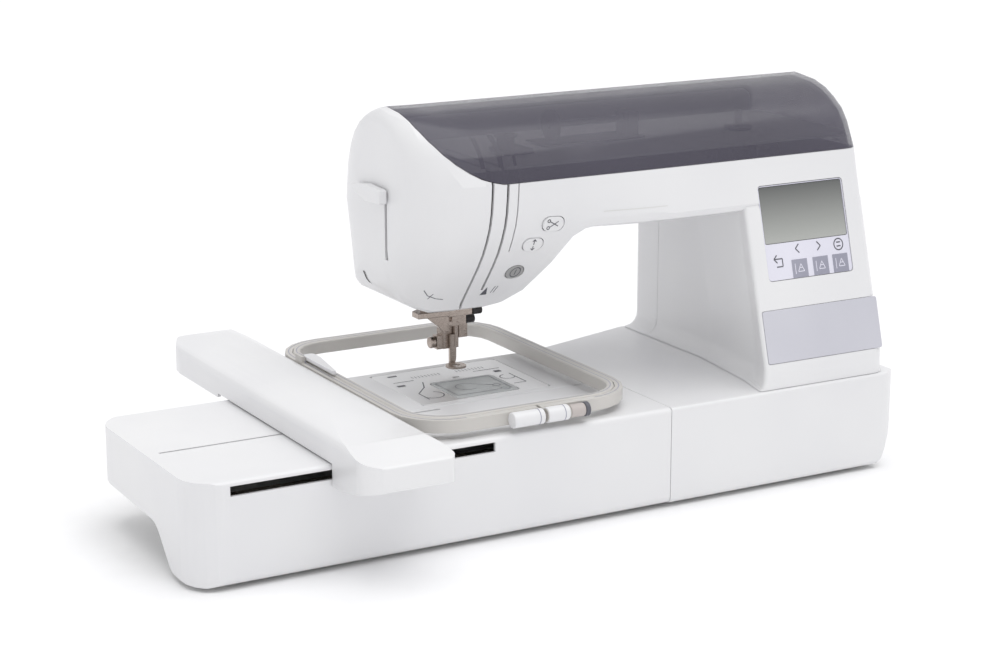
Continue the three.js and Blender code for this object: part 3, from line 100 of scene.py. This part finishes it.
class Nodes:
    """A material's node tree, with short ways to add and join nodes."""

    def __init__(self, name):
        self.material = bpy.data.materials.new(name)
        self.material.use_nodes = True
        self.tree = self.material.node_tree
        self.shader = self.tree.nodes["Principled BSDF"]
        coordinates = self.tree.nodes.new("ShaderNodeTexCoord")
        self.place = coordinates.outputs["Object"]

    def add(self, kind, **values):
        node = self.tree.nodes.new(kind)
        for key, value in values.items():
            setattr(node, key, value)
        return node

    def join(self, source, target):
        self.tree.links.new(source, target)

    def noise(self, scale, detail=3, roughness=0.5, stretch=None):
        node = self.add("ShaderNodeTexNoise")
        node.inputs["Scale"].default_value = scale
        node.inputs["Detail"].default_value = detail
        node.inputs["Roughness"].default_value = roughness
        source = self.place
        if stretch:
            mapping = self.add("ShaderNodeMapping")
            mapping.inputs["Scale"].default_value = stretch
            self.join(self.place, mapping.inputs["Vector"])
            source = mapping.outputs["Vector"]
        self.join(source, node.inputs["Vector"])
        return node.outputs["Fac"]

    def ramp(self, factor, low, high, start=0.3, end=0.7):
        node = self.add("ShaderNodeValToRGB")
        node.color_ramp.elements[0].position = start
        node.color_ramp.elements[0].color = low
        node.color_ramp.elements[1].position = end
        node.color_ramp.elements[1].color = high
        self.join(factor, node.inputs["Fac"])
        return node.outputs["Color"]

    def range(self, factor, low, high):
        node = self.add("ShaderNodeMapRange")
        node.inputs["From Min"].default_value = 0.3
        node.inputs["From Max"].default_value = 0.7
        node.inputs["To Min"].default_value = low
        node.inputs["To Max"].default_value = high
        self.join(factor, node.inputs["Value"])
        return node.outputs["Result"]

    def bump(self, height, strength, distance):
        node = self.add("ShaderNodeBump")
        node.inputs["Strength"].default_value = strength
        node.inputs["Distance"].default_value = distance
        self.join(height, node.inputs["Height"])
        self.join(node.outputs["Normal"], self.shader.inputs["Normal"])

    def set(self, **values):
        for key, value in values.items():
            self.shader.inputs[key.replace("_", " ")].default_value = value


def plastic(name, low, high, rough, grain, strength, coat=0.0, alpha=1.0):
    """Moulded plastic: slow colour drift, fine mould grain and a roughness that varies a little."""
    nodes = Nodes(name)
    drift = nodes.noise(9, 2)
    nodes.join(nodes.ramp(drift, low, high), nodes.shader.inputs["Base Color"])
    smear = nodes.noise(60, 4, 0.6)
    nodes.join(nodes.range(smear, rough * 0.88, rough * 1.14), nodes.shader.inputs["Roughness"])
    nodes.bump(nodes.noise(grain, 2), strength, 0.0001)
    nodes.set(IOR=1.49, Coat_Weight=coat, Coat_Roughness=0.08, Alpha=alpha)
    return nodes.material


def metal(name, low, high, rough, stretch):
    """Machined metal with fine scratches along one direction."""
    nodes = Nodes(name)
    scratches = nodes.noise(420, 5, 0.7, stretch)
    nodes.join(nodes.ramp(scratches, low, high), nodes.shader.inputs["Base Color"])
    nodes.join(nodes.range(scratches, rough * 0.7, rough * 1.3), nodes.shader.inputs["Roughness"])
    nodes.bump(scratches, 0.12, 0.00005)
    nodes.set(Metallic=1.0)
    return nodes.material


def screen_glass():
    """Unlit display: grey that lightens downwards, a painted reflection, under a glossy film."""
    nodes = Nodes("screen_glass")
    split = nodes.add("ShaderNodeSeparateXYZ")
    nodes.join(nodes.place, split.inputs["Vector"])
    height = nodes.add("ShaderNodeMapRange")
    height.inputs["From Min"].default_value = 0.1904
    height.inputs["From Max"].default_value = 0.2339
    nodes.join(split.outputs["Z"], height.inputs["Value"])
    # painted reflection: light grey at the bottom of the glass, dark grey at its top
    ramp = nodes.add("ShaderNodeValToRGB")
    ramp.color_ramp.elements[0].position = 0.0
    ramp.color_ramp.elements[0].color = tone(176, 178, 174)
    ramp.color_ramp.elements[1].position = 1.0
    ramp.color_ramp.elements[1].color = tone(96, 98, 97)
    middle = ramp.color_ramp.elements.new(0.45)
    middle.color = tone(148, 150, 147)
    nodes.join(height.outputs["Result"], ramp.inputs["Fac"])
    nodes.join(ramp.outputs["Color"], nodes.shader.inputs["Base Color"])
    dots = nodes.noise(2600, 1)
    nodes.bump(dots, 0.03, 0.00003)
    nodes.set(Roughness=0.22, Coat_Weight=0.6, Coat_Roughness=0.04)
    return nodes.material


def smoke_plastic():
    """Smoke-tinted lid, partly see-through, with a glossy moulded face."""
    nodes = Nodes("smoke_lid")
    drift = nodes.noise(6, 2)
    colour = nodes.ramp(drift, tone(84, 81, 95), tone(96, 93, 108))
    nodes.join(colour, nodes.shader.inputs["Base Color"])
    smear = nodes.noise(45, 4, 0.6)
    nodes.join(nodes.range(smear, 0.2, 0.27), nodes.shader.inputs["Roughness"])
    nodes.bump(nodes.noise(900, 2), 0.03, 0.00005)
    nodes.set(IOR=1.49, Alpha=0.58, Coat_Weight=0.3, Coat_Roughness=0.12)
    return nodes.material


def floor_paper():
    nodes = Nodes("floor_paper")
    fibres = nodes.noise(30, 5, 0.6)
    colour = nodes.ramp(fibres, tone(247, 247, 248), tone(250, 250, 251))
    nodes.join(colour, nodes.shader.inputs["Base Color"])
    nodes.set(Roughness=0.85, Specular_IOR_Level=0.1)
    return nodes.material


LOOKS = {
    "casing": plastic("casing_white", tone(229, 229, 231), tone(234, 234, 235), 0.36, 1500, 0.015, coat=0.15),
    # inner white, also used for the painted shade line along the arm's crease
    "inner": plastic("inner_white_and_shade", tone(214, 214, 212), tone(224, 224, 222), 0.5, 900, 0.1),
    "smoke": smoke_plastic(),
    "screen": screen_glass(),
    "keypad": plastic("keypad_film", tone(222, 221, 234), tone(230, 229, 240), 0.36, 1800, 0.05),
    # grey for the printed key squares, also used for the painted groove shade on the hoop
    "print_and_shade_grey": plastic("print_and_shade_grey", tone(150, 150, 166), tone(162, 162, 176), 0.4, 1500, 0.08),
    "mark_print": plastic("mark_print", tone(84, 84, 92), tone(100, 100, 108), 0.45, 1500, 0.08),
    "silver": plastic("silver_paint", tone(198, 198, 207), tone(208, 208, 216), 0.34, 2400, 0.12, coat=0.2),
    "plate": metal("plate_steel", tone(238, 238, 239), tone(246, 246, 247), 0.5, (1, 14, 1)),
    "steel": metal("warm_steel", tone(150, 138, 130), tone(204, 192, 184), 0.3, (1, 1, 9)),
    "iron": metal("machined_iron", tone(96, 96, 98), tone(128, 128, 130), 0.45, (1, 6, 6)),
    # dark plastic parts, also used for painted shade: the cutter slit, thread channels, spool sheet, screw
    # slots and tab hole
    "dark": plastic("dark_plastic_and_shade", tone(38, 34, 35), tone(50, 46, 47), 0.45, 1100, 0.12),
    "rubber": plastic("foot_rubber", tone(52, 52, 53), tone(66, 66, 67), 0.8, 700, 0.3),
    "hoop": plastic("hoop_grey", tone(196, 193, 188), tone(208, 205, 201), 0.38, 1300, 0.08, coat=0.1),
    "clear": plastic("clear_plastic", tone(226, 230, 231), tone(236, 240, 240), 0.12, 900, 0.03, alpha=0.55),
    "lens": plastic("lamp_lens", tone(246, 246, 240), tone(250, 250, 246), 0.3, 500, 0.15),
    "grey": plastic("button_grey", tone(160, 160, 160), tone(170, 170, 170), 0.4, 1300, 0.08),
    "pad": plastic("clamp_pad", tone(186, 178, 175), tone(196, 188, 185), 0.5, 900, 0.15),
}


def paint(piece, look):
    piece.data.materials.clear()
    piece.data.materials.append(LOOKS[look])


# ------------------------------------------------------------------ pieces
def body_holding(node):
    return frame["nodes"][node]["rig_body"]


def finish_piece(piece, look, body):
    paint(piece, look)
    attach(piece, body)
    return piece


def mesh_piece(name, vertices, faces):
    mesh = bpy.data.meshes.new(name)
    mesh.from_pydata([tuple(v) for v in vertices], [], faces)
    mesh.validate()
    piece = bpy.data.objects.new(name, mesh)
    bpy.context.scene.collection.objects.link(piece)
    return piece


def soften(piece, angle, bevel, segments):
    """Smooth shading that breaks at sharp edges, with those edges rounded off."""
    mesh = piece.data
    mesh.polygons.foreach_set("use_smooth", [True] * len(mesh.polygons))
    mesh.set_sharp_from_angle(angle=math.radians(angle))
    if bevel:
        rounded = piece.modifiers.new("edges", "BEVEL")
        rounded.width = bevel * MM
        rounded.segments = segments
        rounded.limit_method = "ANGLE"
        rounded.angle_limit = math.radians(38)
        rounded.harden_normals = True
        rounded.use_clamp_overlap = True
    weighted = piece.modifiers.new("normals", "WEIGHTED_NORMAL")
    weighted.keep_sharp = True
    weighted.weight = 60


def skin(node, look, bevel=0.5, segments=2, angle=32):
    """A piece with a CAD node's shape, its edges rounded and its facets blended."""
    source = frame["nodes"][node]
    work = bmesh.new()
    work.from_mesh(source.data)
    bmesh.ops.remove_doubles(work, verts=work.verts, dist=2e-6)
    bmesh.ops.dissolve_limit(work, angle_limit=math.radians(0.6), verts=work.verts, edges=work.edges)
    mesh = bpy.data.meshes.new(node + "_skin")
    work.to_mesh(mesh)
    work.free()
    piece = bpy.data.objects.new(node + "_skin", mesh)
    bpy.context.scene.collection.objects.link(piece)
    soften(piece, angle, bevel, segments)
    finish_piece(piece, look, body_holding(node))
    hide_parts(node)
    return piece


SKINS = [
    ("unit_casing", "casing", "casing", 0.5),
    ("bed_casing", "casing", "casing", 0.5),
    ("free_arm_casing", "casing", "casing", 0.5),
    ("arm_front_cover", "casing", "casing", 0.25),
    ("arm_rear_cover", "casing", "casing", 0.25),
    ("top_lid", "smoke", "smoke", 0.2),
    ("carriage_cover", "casing", "casing", 0.5),
    ("frame_lever", "casing", "casing", 0.6),
    ("threader_lever", "casing", "casing", 0.9),
    ("needle_position_button", "casing", "casing", 0.7),
    ("thread_cutter_button", "casing", "casing", 0.7),
    ("start_stop_button", "grey", "grey", 0.9),
    ("display_frame", "keypad", "keypad", 0.3),
    ("display_glass", "screen", "screen", 0.2),
    ("name_plate", "silver", "silver", 0.3),
    ("needle_plate", "plate", "silver", 0.3),
    ("bobbin_cover", "clear", "clear", 0.3),
    ("hoop_outer_ring", "hoop", "hoop", 1.3),
    ("hoop_inner_ring", "hoop", "hoop", 1.5),
    ("hoop_clamp_screw", "pad", "grey", 0.6),
    ("hoop_holder", "inner", "inner", 0.4),
    ("needle_clamp", "steel", "steel", 0.5),
    ("needle_clamp_screw", "dark", "dark", 0.5),
    ("needle_bar", "steel", "steel", 0.3),
    ("needle", "steel", "steel", 0),
    ("foot_holder", "steel", "steel", 0.5),
    ("foot_thumb_screw", "steel", "steel", 0.6),
    ("embroidery_foot", "steel", "steel", 0.3),
    ("presser_bar", "steel", "steel", 0.3),
    ("presser_lifter", "dark", "dark", 0.8),
    ("take_up_lever", "steel", "steel", 0.2),
    ("handwheel", "casing", "casing", 0.8),
    ("power_switch", "dark", "dark", 0.5),
    ("power_inlet", "dark", "dark", 0.4),
    ("lamp_lens", "lens", "clear", 0.4),
    ("spool_pin", "dark", "dark", 0.5),
    ("spool_cap", "dark", "dark", 0.8),
    ("thread_guide", "dark", "dark", 0.6),
    ("bobbin_winder", "grey", "grey", 0.5),
    ("arm_top_deck", "inner", "inner", 0.4),
    ("foot_front_right", "rubber", "rubber", 0.8),
    ("foot_rear_right", "rubber", "rubber", 0.8),
    ("foot_rear_middle", "rubber", "rubber", 0.8),
    ("unit_foot", "rubber", "rubber", 0.8),
    ("unit_release_lever", "grey", "grey", 0.6),
]

KEPT_NODES = {
    "unit_floor": "inner",
    "bed_floor": "inner",
    "unit_guide_rail": "steel",
    "drive_motor": "iron",
    "rotary_hook": "steel",
    "bobbin_case": "dark",
    "bobbin": "clear",
    "main_shaft": "steel",
    "upper_pulley": "iron",
    "lower_shaft": "steel",
    "lower_pulley": "iron",
    "timing_belt": "rubber",
    "arm_frame": "iron",
    "carriage_base": "inner",
    "carriage_rail": "steel",
}


# ------------------------------------------------------------------ printed marks
class Surface:
    """A CAD node's surface, onto which marks are laid along a direction."""

    def __init__(self, node, direction):
        self.node = node
        self.direction = Vector(direction)
        work = bmesh.new()
        work.from_mesh(frame["nodes"][node].data)
        self.tree = BVHTree.FromBMesh(work)
        work.free()

    def touch(self, start, rise):
        hit = self.tree.ray_cast(start, self.direction)[0]
        if hit is None:
            return None
        return hit - self.direction * rise * MM


def front_start(x, z):
    return at(x, -200, z)


def top_start(x, y):
    return at(x, y, 400)


def left_start(y, z):
    return at(100, y, z)


def ribbon(points, width):
    """Pairs of side points along each straight run of a line of 2-D points."""
    pairs = []
    for (u0, v0), (u1, v1) in zip(points, points[1:]):
        length = math.hypot(u1 - u0, v1 - v0)
        steps = max(2, int(length / RIBBON_STEP))
        nu, nv = -(v1 - v0) / length * width / 2, (u1 - u0) / length * width / 2
        run = []
        for k in range(steps + 1):
            u, v = u0 + (u1 - u0) * k / steps, v0 + (v1 - v0) * k / steps
            run.append(((u + nu, v + nv), (u - nu, v - nv)))
        pairs.append(run)
    return pairs


def print_lines(name, surface, start_of, lines, width, look, rise=PRINT_RISE):
    """Thin printed lines laid on a surface. lines are lists of 2-D points."""
    vertices, faces = [], []
    for line in lines:
        for run in ribbon(line, width):
            laid = [[surface.touch(start_of(*p), rise) for p in pair] for pair in run]
            if any(p is None for pair in laid for p in pair):
                continue
            first = len(vertices)
            vertices += [p for pair in laid for p in pair]
            for k in range(len(laid) - 1):
                a = first + 2 * k
                faces.append((a, a + 1, a + 3, a + 2))
    piece = mesh_piece(name, vertices, faces)
    return finish_piece(piece, look, body_holding(surface.node))


def print_patch(name, surface, start_of, outlines, look, rise=PRINT_RISE):
    """Filled printed shapes laid on a surface. outlines are lists of 2-D points."""
    vertices, faces = [], []
    for outline in outlines:
        laid = [surface.touch(start_of(*p), rise) for p in outline]
        if any(p is None for p in laid):
            continue
        faces.append(tuple(range(len(vertices), len(vertices) + len(laid))))
        vertices += laid
    piece = mesh_piece(name, vertices, faces)
    return finish_piece(piece, look, body_holding(surface.node))


def square(u, v, w, h):
    return [(u - w / 2, v - h / 2), (u + w / 2, v - h / 2), (u + w / 2, v + h / 2), (u - w / 2, v + h / 2)]


def ring_line(u, v, r, start=0, end=360, steps=18):
    turn = [math.radians(start + (end - start) * k / steps) for k in range(steps + 1)]
    return [(u + r * math.cos(t), v + r * math.sin(t)) for t in turn]


def keypad_marks():
    """Square keys, arrow keys and generic signs on the panel's film."""
    keypad = Surface("display_frame", (0, 1, 0))
    keys = [(528, 170), (548.5, 170), (568, 170)]
    squares = [square(u, v, 15, 14) for u, v in keys]
    print_patch("square_keys", keypad, front_start, squares, "print_and_shade_grey")
    arrows = [
        [(529.2, 188.6), (525.8, 185.2), (529.2, 181.8)],
        [(546.8, 188.6), (550.2, 185.2), (546.8, 181.8)],
    ]
    back_arrow = [
        [(506, 173), (512, 173), (512, 179), (504.5, 179)],
        [(507, 182), (504, 179), (507, 176)],
    ]
    accept = [ring_line(568, 184.4, 4.4), [(566, 186), (570, 186)], [(566, 183), (570, 183)]]
    print_lines("arrow_keys", keypad, front_start, arrows + back_arrow + accept, 0.9, "mark_print")
    glyphs = []
    for u, v in keys:
        glyphs += [
            [(u - 4.5, v - 4), (u - 4.5, v + 4)],
            [(u - 2, v - 2.4), (u + 1, v + 3.4), (u + 4, v - 2.4), (u - 2, v - 2.4)],
            [(u - 0.4, v + 0.4), (u + 2.4, v + 0.4)],
        ]
    print_lines("key_glyphs", keypad, front_start, glyphs, 0.7, "keypad", rise=2 * PRINT_RISE)


def button_marks():
    """Signs on the three buttons of the head."""
    start = Surface("start_stop_button", (0, 1, 0))
    start_sign = [[(299, 179.5), (299, 184.5)], ring_line(299, 182, 4.2)]
    print_lines("start_mark", start, front_start, start_sign, 0.8, "mark_print")
    needle = Surface("needle_position_button", (0, 1, 0))
    arrows = [
        [(305, 206), (305, 210)], [(303.4, 208.6), (305, 210.4), (306.6, 208.6)],
        [(305, 205), (305, 201.6)], [(303.4, 203), (305, 201.4), (306.6, 203)],
    ]
    print_lines("needle_mark", needle, front_start, arrows, 0.7, "mark_print")
    cutter = Surface("thread_cutter_button", (0, 1, 0))
    blades = [
        [(314, 219.6), (321.6, 224)], [(314, 224.6), (321.6, 220.2)],
        ring_line(313.2, 219.4, 1.2, steps=10), ring_line(313.2, 225, 1.2, steps=10),
    ]
    print_lines("cutter_mark", cutter, front_start, blades, 0.7, "mark_print")


def hoop_marks():
    """Fine lines round the top of the outer and inner rings, painted shade standing for their grooves."""
    outer, inner = Surface("hoop_outer_ring", (0, 0, -1)), Surface("hoop_inner_ring", (0, 0, -1))
    outer_loop = rounded_loop(181, 369, 10.5, 268.5, 39)
    inner_loop = rounded_loop(187.4, 362.6, 16.9, 262.1, 32.6)
    # painted shade: grey lines where the rings' grooves lie
    print_lines("outer_rim_groove_shade", outer, top_start, [outer_loop], 0.7, "print_and_shade_grey", rise=0.1)
    print_lines("inner_rim_groove_shade", inner, top_start, [inner_loop], 0.7, "print_and_shade_grey", rise=0.1)


def rounded_loop(x0, x1, y0, y1, r):
    """Corner points of a rectangle with round corners, back to its start."""
    corners = [
        (x1 - r, y0 + r, 270),
        (x1 - r, y1 - r, 0),
        (x0 + r, y1 - r, 90),
        (x0 + r, y0 + r, 180),
    ]
    points = []
    for x, y, start in corners:
        points += ring_line(x, y, r, start, start + 90, 8)
    return points + points[:1]


def casing_marks():
    """Threading signs by the head's slots, a painted shade line along a crease on the arm, and a dark stripe
    of painted shade for the thread cutter's slit.
    """
    cover = Surface("arm_front_cover", (0, 1, 0))
    arrow = [[(277, 163), (283, 163), (281, 170)]]
    bars = [[(286, 164), (288, 170)], [(288.5, 164), (290.5, 170)]]
    threading = [
        [(229, 172.5), (233, 167.5), (239.5, 164.6), (246, 163.2)],
        [(234, 164.5), (236.5, 169)],
    ]
    print_patch("slot_arrow", cover, front_start, arrow, "mark_print")
    print_lines("slot_bars", cover, front_start, bars, 0.6, "mark_print")
    # painted shade: a thin darker line along the crease on the arm's front
    print_lines("arm_crease_shade", cover, front_start, [[(358, 229), (412, 229)]], 0.5, "inner")
    print_lines("threading_mark", cover, front_start, threading, 0.6, "mark_print")
    side = Surface("arm_front_cover", (1, 0, 0))
    # painted shade: a dark stripe on the surface in place of the shade inside the cutter's slit
    print_lines("cutter_slit_shade", side, left_start, [[(158, 167), (158, 177)]], 2.6, "dark")
    print_lines("cutter_edge", side, left_start, [[(155.5, 166), (155.5, 178)]], 0.5, "mark_print")


def plate_marks():
    """Scale, thread path and blocks on the needle plate, and lines on the clear bobbin cover."""
    plate = Surface("needle_plate", (0, 0, -1))
    x0, y0 = PLATE_X0, PLATE_Y0
    tick_xs = [NEEDLE_X + side * (8 + 3 * k) for side in (1, -1) for k in range(9)]
    ticks = [[(x, NEEDLE_Y + 12), (x, NEEDLE_Y + 17)] for x in tick_xs]
    path = [
        [(x0 + 12, y0 + 12), (x0 + 12, y0 + 30), (x0 + 24, y0 + 44), (x0 + 30, y0 + 58)],
        ring_line(x0 + 20, y0 + 22, 9, 200, 420),
        [(x0 + 92, y0 + 20), (x0 + 103, y0 + 20), (x0 + 103, y0 + 48)],
        ring_line(x0 + 97, y0 + 40, 6, 90, 330),
        [(x0 + 8, y0 + 66), (x0 + 26, y0 + 66)],
        [(x0 + 80, y0 + 66), (x0 + 104, y0 + 66)],
    ]
    print_lines("plate_scale", plate, top_start, ticks, 0.5, "mark_print")
    print_lines("plate_path", plate, top_start, path, 0.9, "mark_print")
    blocks = [
        square(x0 + 10, y0 + 56, 7, 4),
        square(x0 + 98, y0 + 58, 6, 5),
        square(x0 + 16, y0 + 84, 8, 3),
    ]
    print_patch("plate_blocks", plate, top_start, blocks, "mark_print")
    cover = Surface("bobbin_cover", (0, 0, -1))
    rim = [[(268, 112), (316, 112), (316, 150), (268, 150), (268, 112)]]
    curl = [ring_line(286, 131, 9, 30, 300), [(294, 135), (306, 126)], ring_line(309, 124, 3)]
    print_lines("cover_rim", cover, top_start, rim + curl, 0.7, "mark_print")


# ------------------------------------------------------------------ added details
SECTION_PLACE = {
    "x": lambda u, v, w: (w, u, v),
    "y": lambda u, v, w: (u, w, v),
    "z": lambda u, v, w: (u, v, w),
}


def prism_piece(name, section, along, start, end, look, body, bevel=0.4):
    """A bar whose 2-D section runs along one axis, edges rounded."""
    count = len(section)
    place = SECTION_PLACE[along]
    vertices = [at(*place(u, v, w)) for w in (start, end) for u, v in section]
    faces = [tuple(reversed(range(count))), tuple(range(count, 2 * count))]
    faces += [(i, (i + 1) % count, count + (i + 1) % count, count + i) for i in range(count)]
    piece = mesh_piece(name, vertices, faces)
    work = bmesh.new()
    work.from_mesh(piece.data)
    bmesh.ops.recalc_face_normals(work, faces=work.faces)
    work.to_mesh(piece.data)
    work.free()
    soften(piece, 32, bevel, 3)
    return finish_piece(piece, look, body)


def disc_section(u, v, r, steps=28):
    return ring_line(u, v, r, steps=steps)[:-1]


def under_lid():
    """Dark strips just inside the smoke lid, painted shade of the thread channels, and a dark sheet on the
    deck below it, painted shade where the spool tray lies.
    """
    lid = Surface("top_lid", (0, 1, -0.35))
    slant = lid.direction.normalized()
    depth = 4.2 * MM  # behind the lid's outer face
    for k, (x, width) in enumerate([(260.5, 3.6), (276, 4.4), (288, 2.6)]):
        vertices = []
        for step in range(24):
            z = 342 + 2.05 * step
            for side in (-width / 2, width / 2):
                hit, normal, _, _ = lid.tree.ray_cast(at(x + side, -200, z), slant)
                if hit is not None:
                    vertices.append(hit - normal * depth)
        faces = [(2 * i, 2 * i + 1, 2 * i + 3, 2 * i + 2) for i in range(len(vertices) // 2 - 1)]
        # painted shade: a dark strip following the lid's inside along a thread channel
        channel = mesh_piece("thread_channel_shade_%d" % k, vertices, faces)
        finish_piece(channel, "dark", "lid")
    # painted shade: a thin dark sheet on the deck where the spool tray lies
    shade_outline = square(392, 128, 92, 30)
    prism_piece("spool_shade_sheet", shade_outline, "z", 268.6, 270.4, "dark", "machine", 0.5)


def screws():
    """Cross-head screws on the back of the arm and column, their cross slots painted as dark shade."""
    rear = Surface("arm_rear_cover", (0, -1, 0))
    for k, (x, z) in enumerate([(430, 96), (590, 96), (430, 220), (590, 250)]):
        hit = rear.touch(at(x, 400, z), 0.15)
        if hit is None:
            continue
        y = hit.y / MM + ORIGIN_Y
        head = disc_section(x, z, 3.4)
        prism_piece("back_screw_%d" % k, head, "y", y - 1.2, y, "iron", "machine", 0.3)
        # painted shade: thin dark bars in place of the recessed cross slots
        for n, (width, height) in enumerate([(4.3, 0.7), (0.7, 4.3)]):
            name = "back_screw_slot_%d_%d" % (k, n)
            bar = square(x, z, width, height)
            prism_piece(name, bar, "y", y - 0.1, y + 0.1, "dark", "machine", 0)


def clamp_block():
    """Sleeves round the hoop clamp's lugs and the cap of its screw, in front of the outer ring."""
    sleeve = disc_section(CLAMP_Y, CLAMP_Z, 6)
    seam = disc_section(CLAMP_Y, CLAMP_Z, 6.15)
    cap = disc_section(CLAMP_Y, CLAMP_Z, 5.6)
    for k, (x0, x1) in enumerate([(253, 279), (282, 300.5)]):
        prism_piece("clamp_sleeve_%d" % k, sleeve, "x", x0, x1, "casing", "hoop", 0.8)
        prism_piece("clamp_seam_%d" % k, seam, "x", x1 - 4.6, x1 - 4, "print_and_shade_grey", "hoop", 0)
    prism_piece("clamp_cap", cap, "x", 314.6, 318.5, "mark_print", "hoop", 0.8)


def needle_fittings():
    """Steel guide bracket under the head, and the tab and spring beside the foot's holder."""
    plate = [(253, 149), (279.5, 147), (279.5, 166), (262, 166), (253, 160)]
    gusset = [(261, 134.6), (279.3, 134.6), (279.3, 122), (275, 122), (270, 127)]
    fittings = [
        ("guide_plate", plate, "z", 134.5, 139, "steel", "machine", 0.5),
        ("guide_post", square(270, 158, 15, 13), "z", 139, 151.3, "steel", "machine", 0.5),
        ("guide_gusset", gusset, "y", 148.5, 152.5, "steel", "machine", 0.4),
        ("guide_bar", square(290, 149.6, 21, 4.4), "z", 133.5, 139, "steel", "machine", 0.5),
        ("guide_tip", disc_section(149.6, 136.2, 3.4), "x", 300.5, 309, "dark", "machine", 0.6),
        ("guide_screw", disc_section(264, 155, 2.8), "z", 133.2, 134.6, "iron", "machine", 0.3),
        ("foot_tab", square(302.6, 168.6, 8, 3.6), "z", 110, 129, "steel", "presser", 0.6),
        # painted shade: a thin dark disc in place of the hole in the tab
        ("foot_tab_hole_shade", disc_section(303.4, 123, 1.7, 16), "y", 166.6, 166.9, "dark", "presser", 0),
        ("foot_spring", disc_section(283.4, 173.5, 2.3, 20), "z", 125, 133, "steel", "presser", 0.3),
    ]
    for name, section, along, start, end, look, body, bevel in fittings:
        prism_piece(name, section, along, start, end, look, body, bevel)


def handwheel_grip():
    """Grip ribs round the handwheel's rim."""
    for k in range(WHEEL_RIBS):
        turn = 2 * math.pi * k / WHEEL_RIBS
        y, z = NEEDLE_Y + WHEEL_RIM * math.cos(turn), WHEEL_Z + WHEEL_RIM * math.sin(turn)
        rib = disc_section(y, z, 0.8, 8)
        prism_piece("wheel_rib_%02d" % k, rib, "x", 608.5, 617, "casing", "upper_shaft", 0)


# ------------------------------------------------------------------ stage
def wide_light(name, direction_to, energy, spread):
    """A far soft light that shines from one direction, with a wide disc so its shadows are faint."""
    data = bpy.data.lights.new(name, "SUN")
    data.energy = energy
    data.angle = math.radians(spread)
    lamp = bpy.data.objects.new(name, data)
    lamp.rotation_euler = Vector(direction_to).to_track_quat("Z", "Y").to_euler()
    bpy.context.scene.collection.objects.link(lamp)


def stage():
    corners = [(x * FLOOR_EDGE, y * FLOOR_EDGE, 0) for x, y in [(-1, -1), (1, -1), (1, 1), (-1, 1)]]
    floor = mesh_piece("floor", corners, [(0, 1, 2, 3)])
    floor.data.materials.append(floor_paper())
    world = bpy.data.worlds.new("studio")
    world.use_nodes = True
    background = world.node_tree.nodes["Background"]
    background.inputs["Color"].default_value = SKY_COLOUR
    background.inputs["Strength"].default_value = SKY_STRENGTH
    bpy.context.scene.world = world
    wide_light("overhead_light", OVERHEAD_TOWARDS, OVERHEAD_ENERGY, OVERHEAD_SPREAD)
    view = bpy.context.scene.view_settings
    view.view_transform = "Standard"


def camera():
    data = bpy.data.cameras.new("camera")
    data.lens = CAMERA_LENS
    data.sensor_width = 36
    data.clip_start = 0.05
    body = bpy.data.objects.new("camera", data)
    body.location = CAMERA_AT
    body.rotation_euler = tuple(math.radians(angle) for angle in CAMERA_TURN)
    bpy.context.scene.collection.objects.link(body)
    bpy.context.scene.camera = body


# ------------------------------------------------------------------ making
camera()
stage()
for node, look, slot, bevel in SKINS:
    skin(node, look, bevel)
for node, look in KEPT_NODES.items():
    paint(frame["nodes"][node], look)
keypad_marks()
button_marks()
casing_marks()
hoop_marks()
plate_marks()
under_lid()
screws()
clamp_block()
needle_fittings()
handwheel_grip()
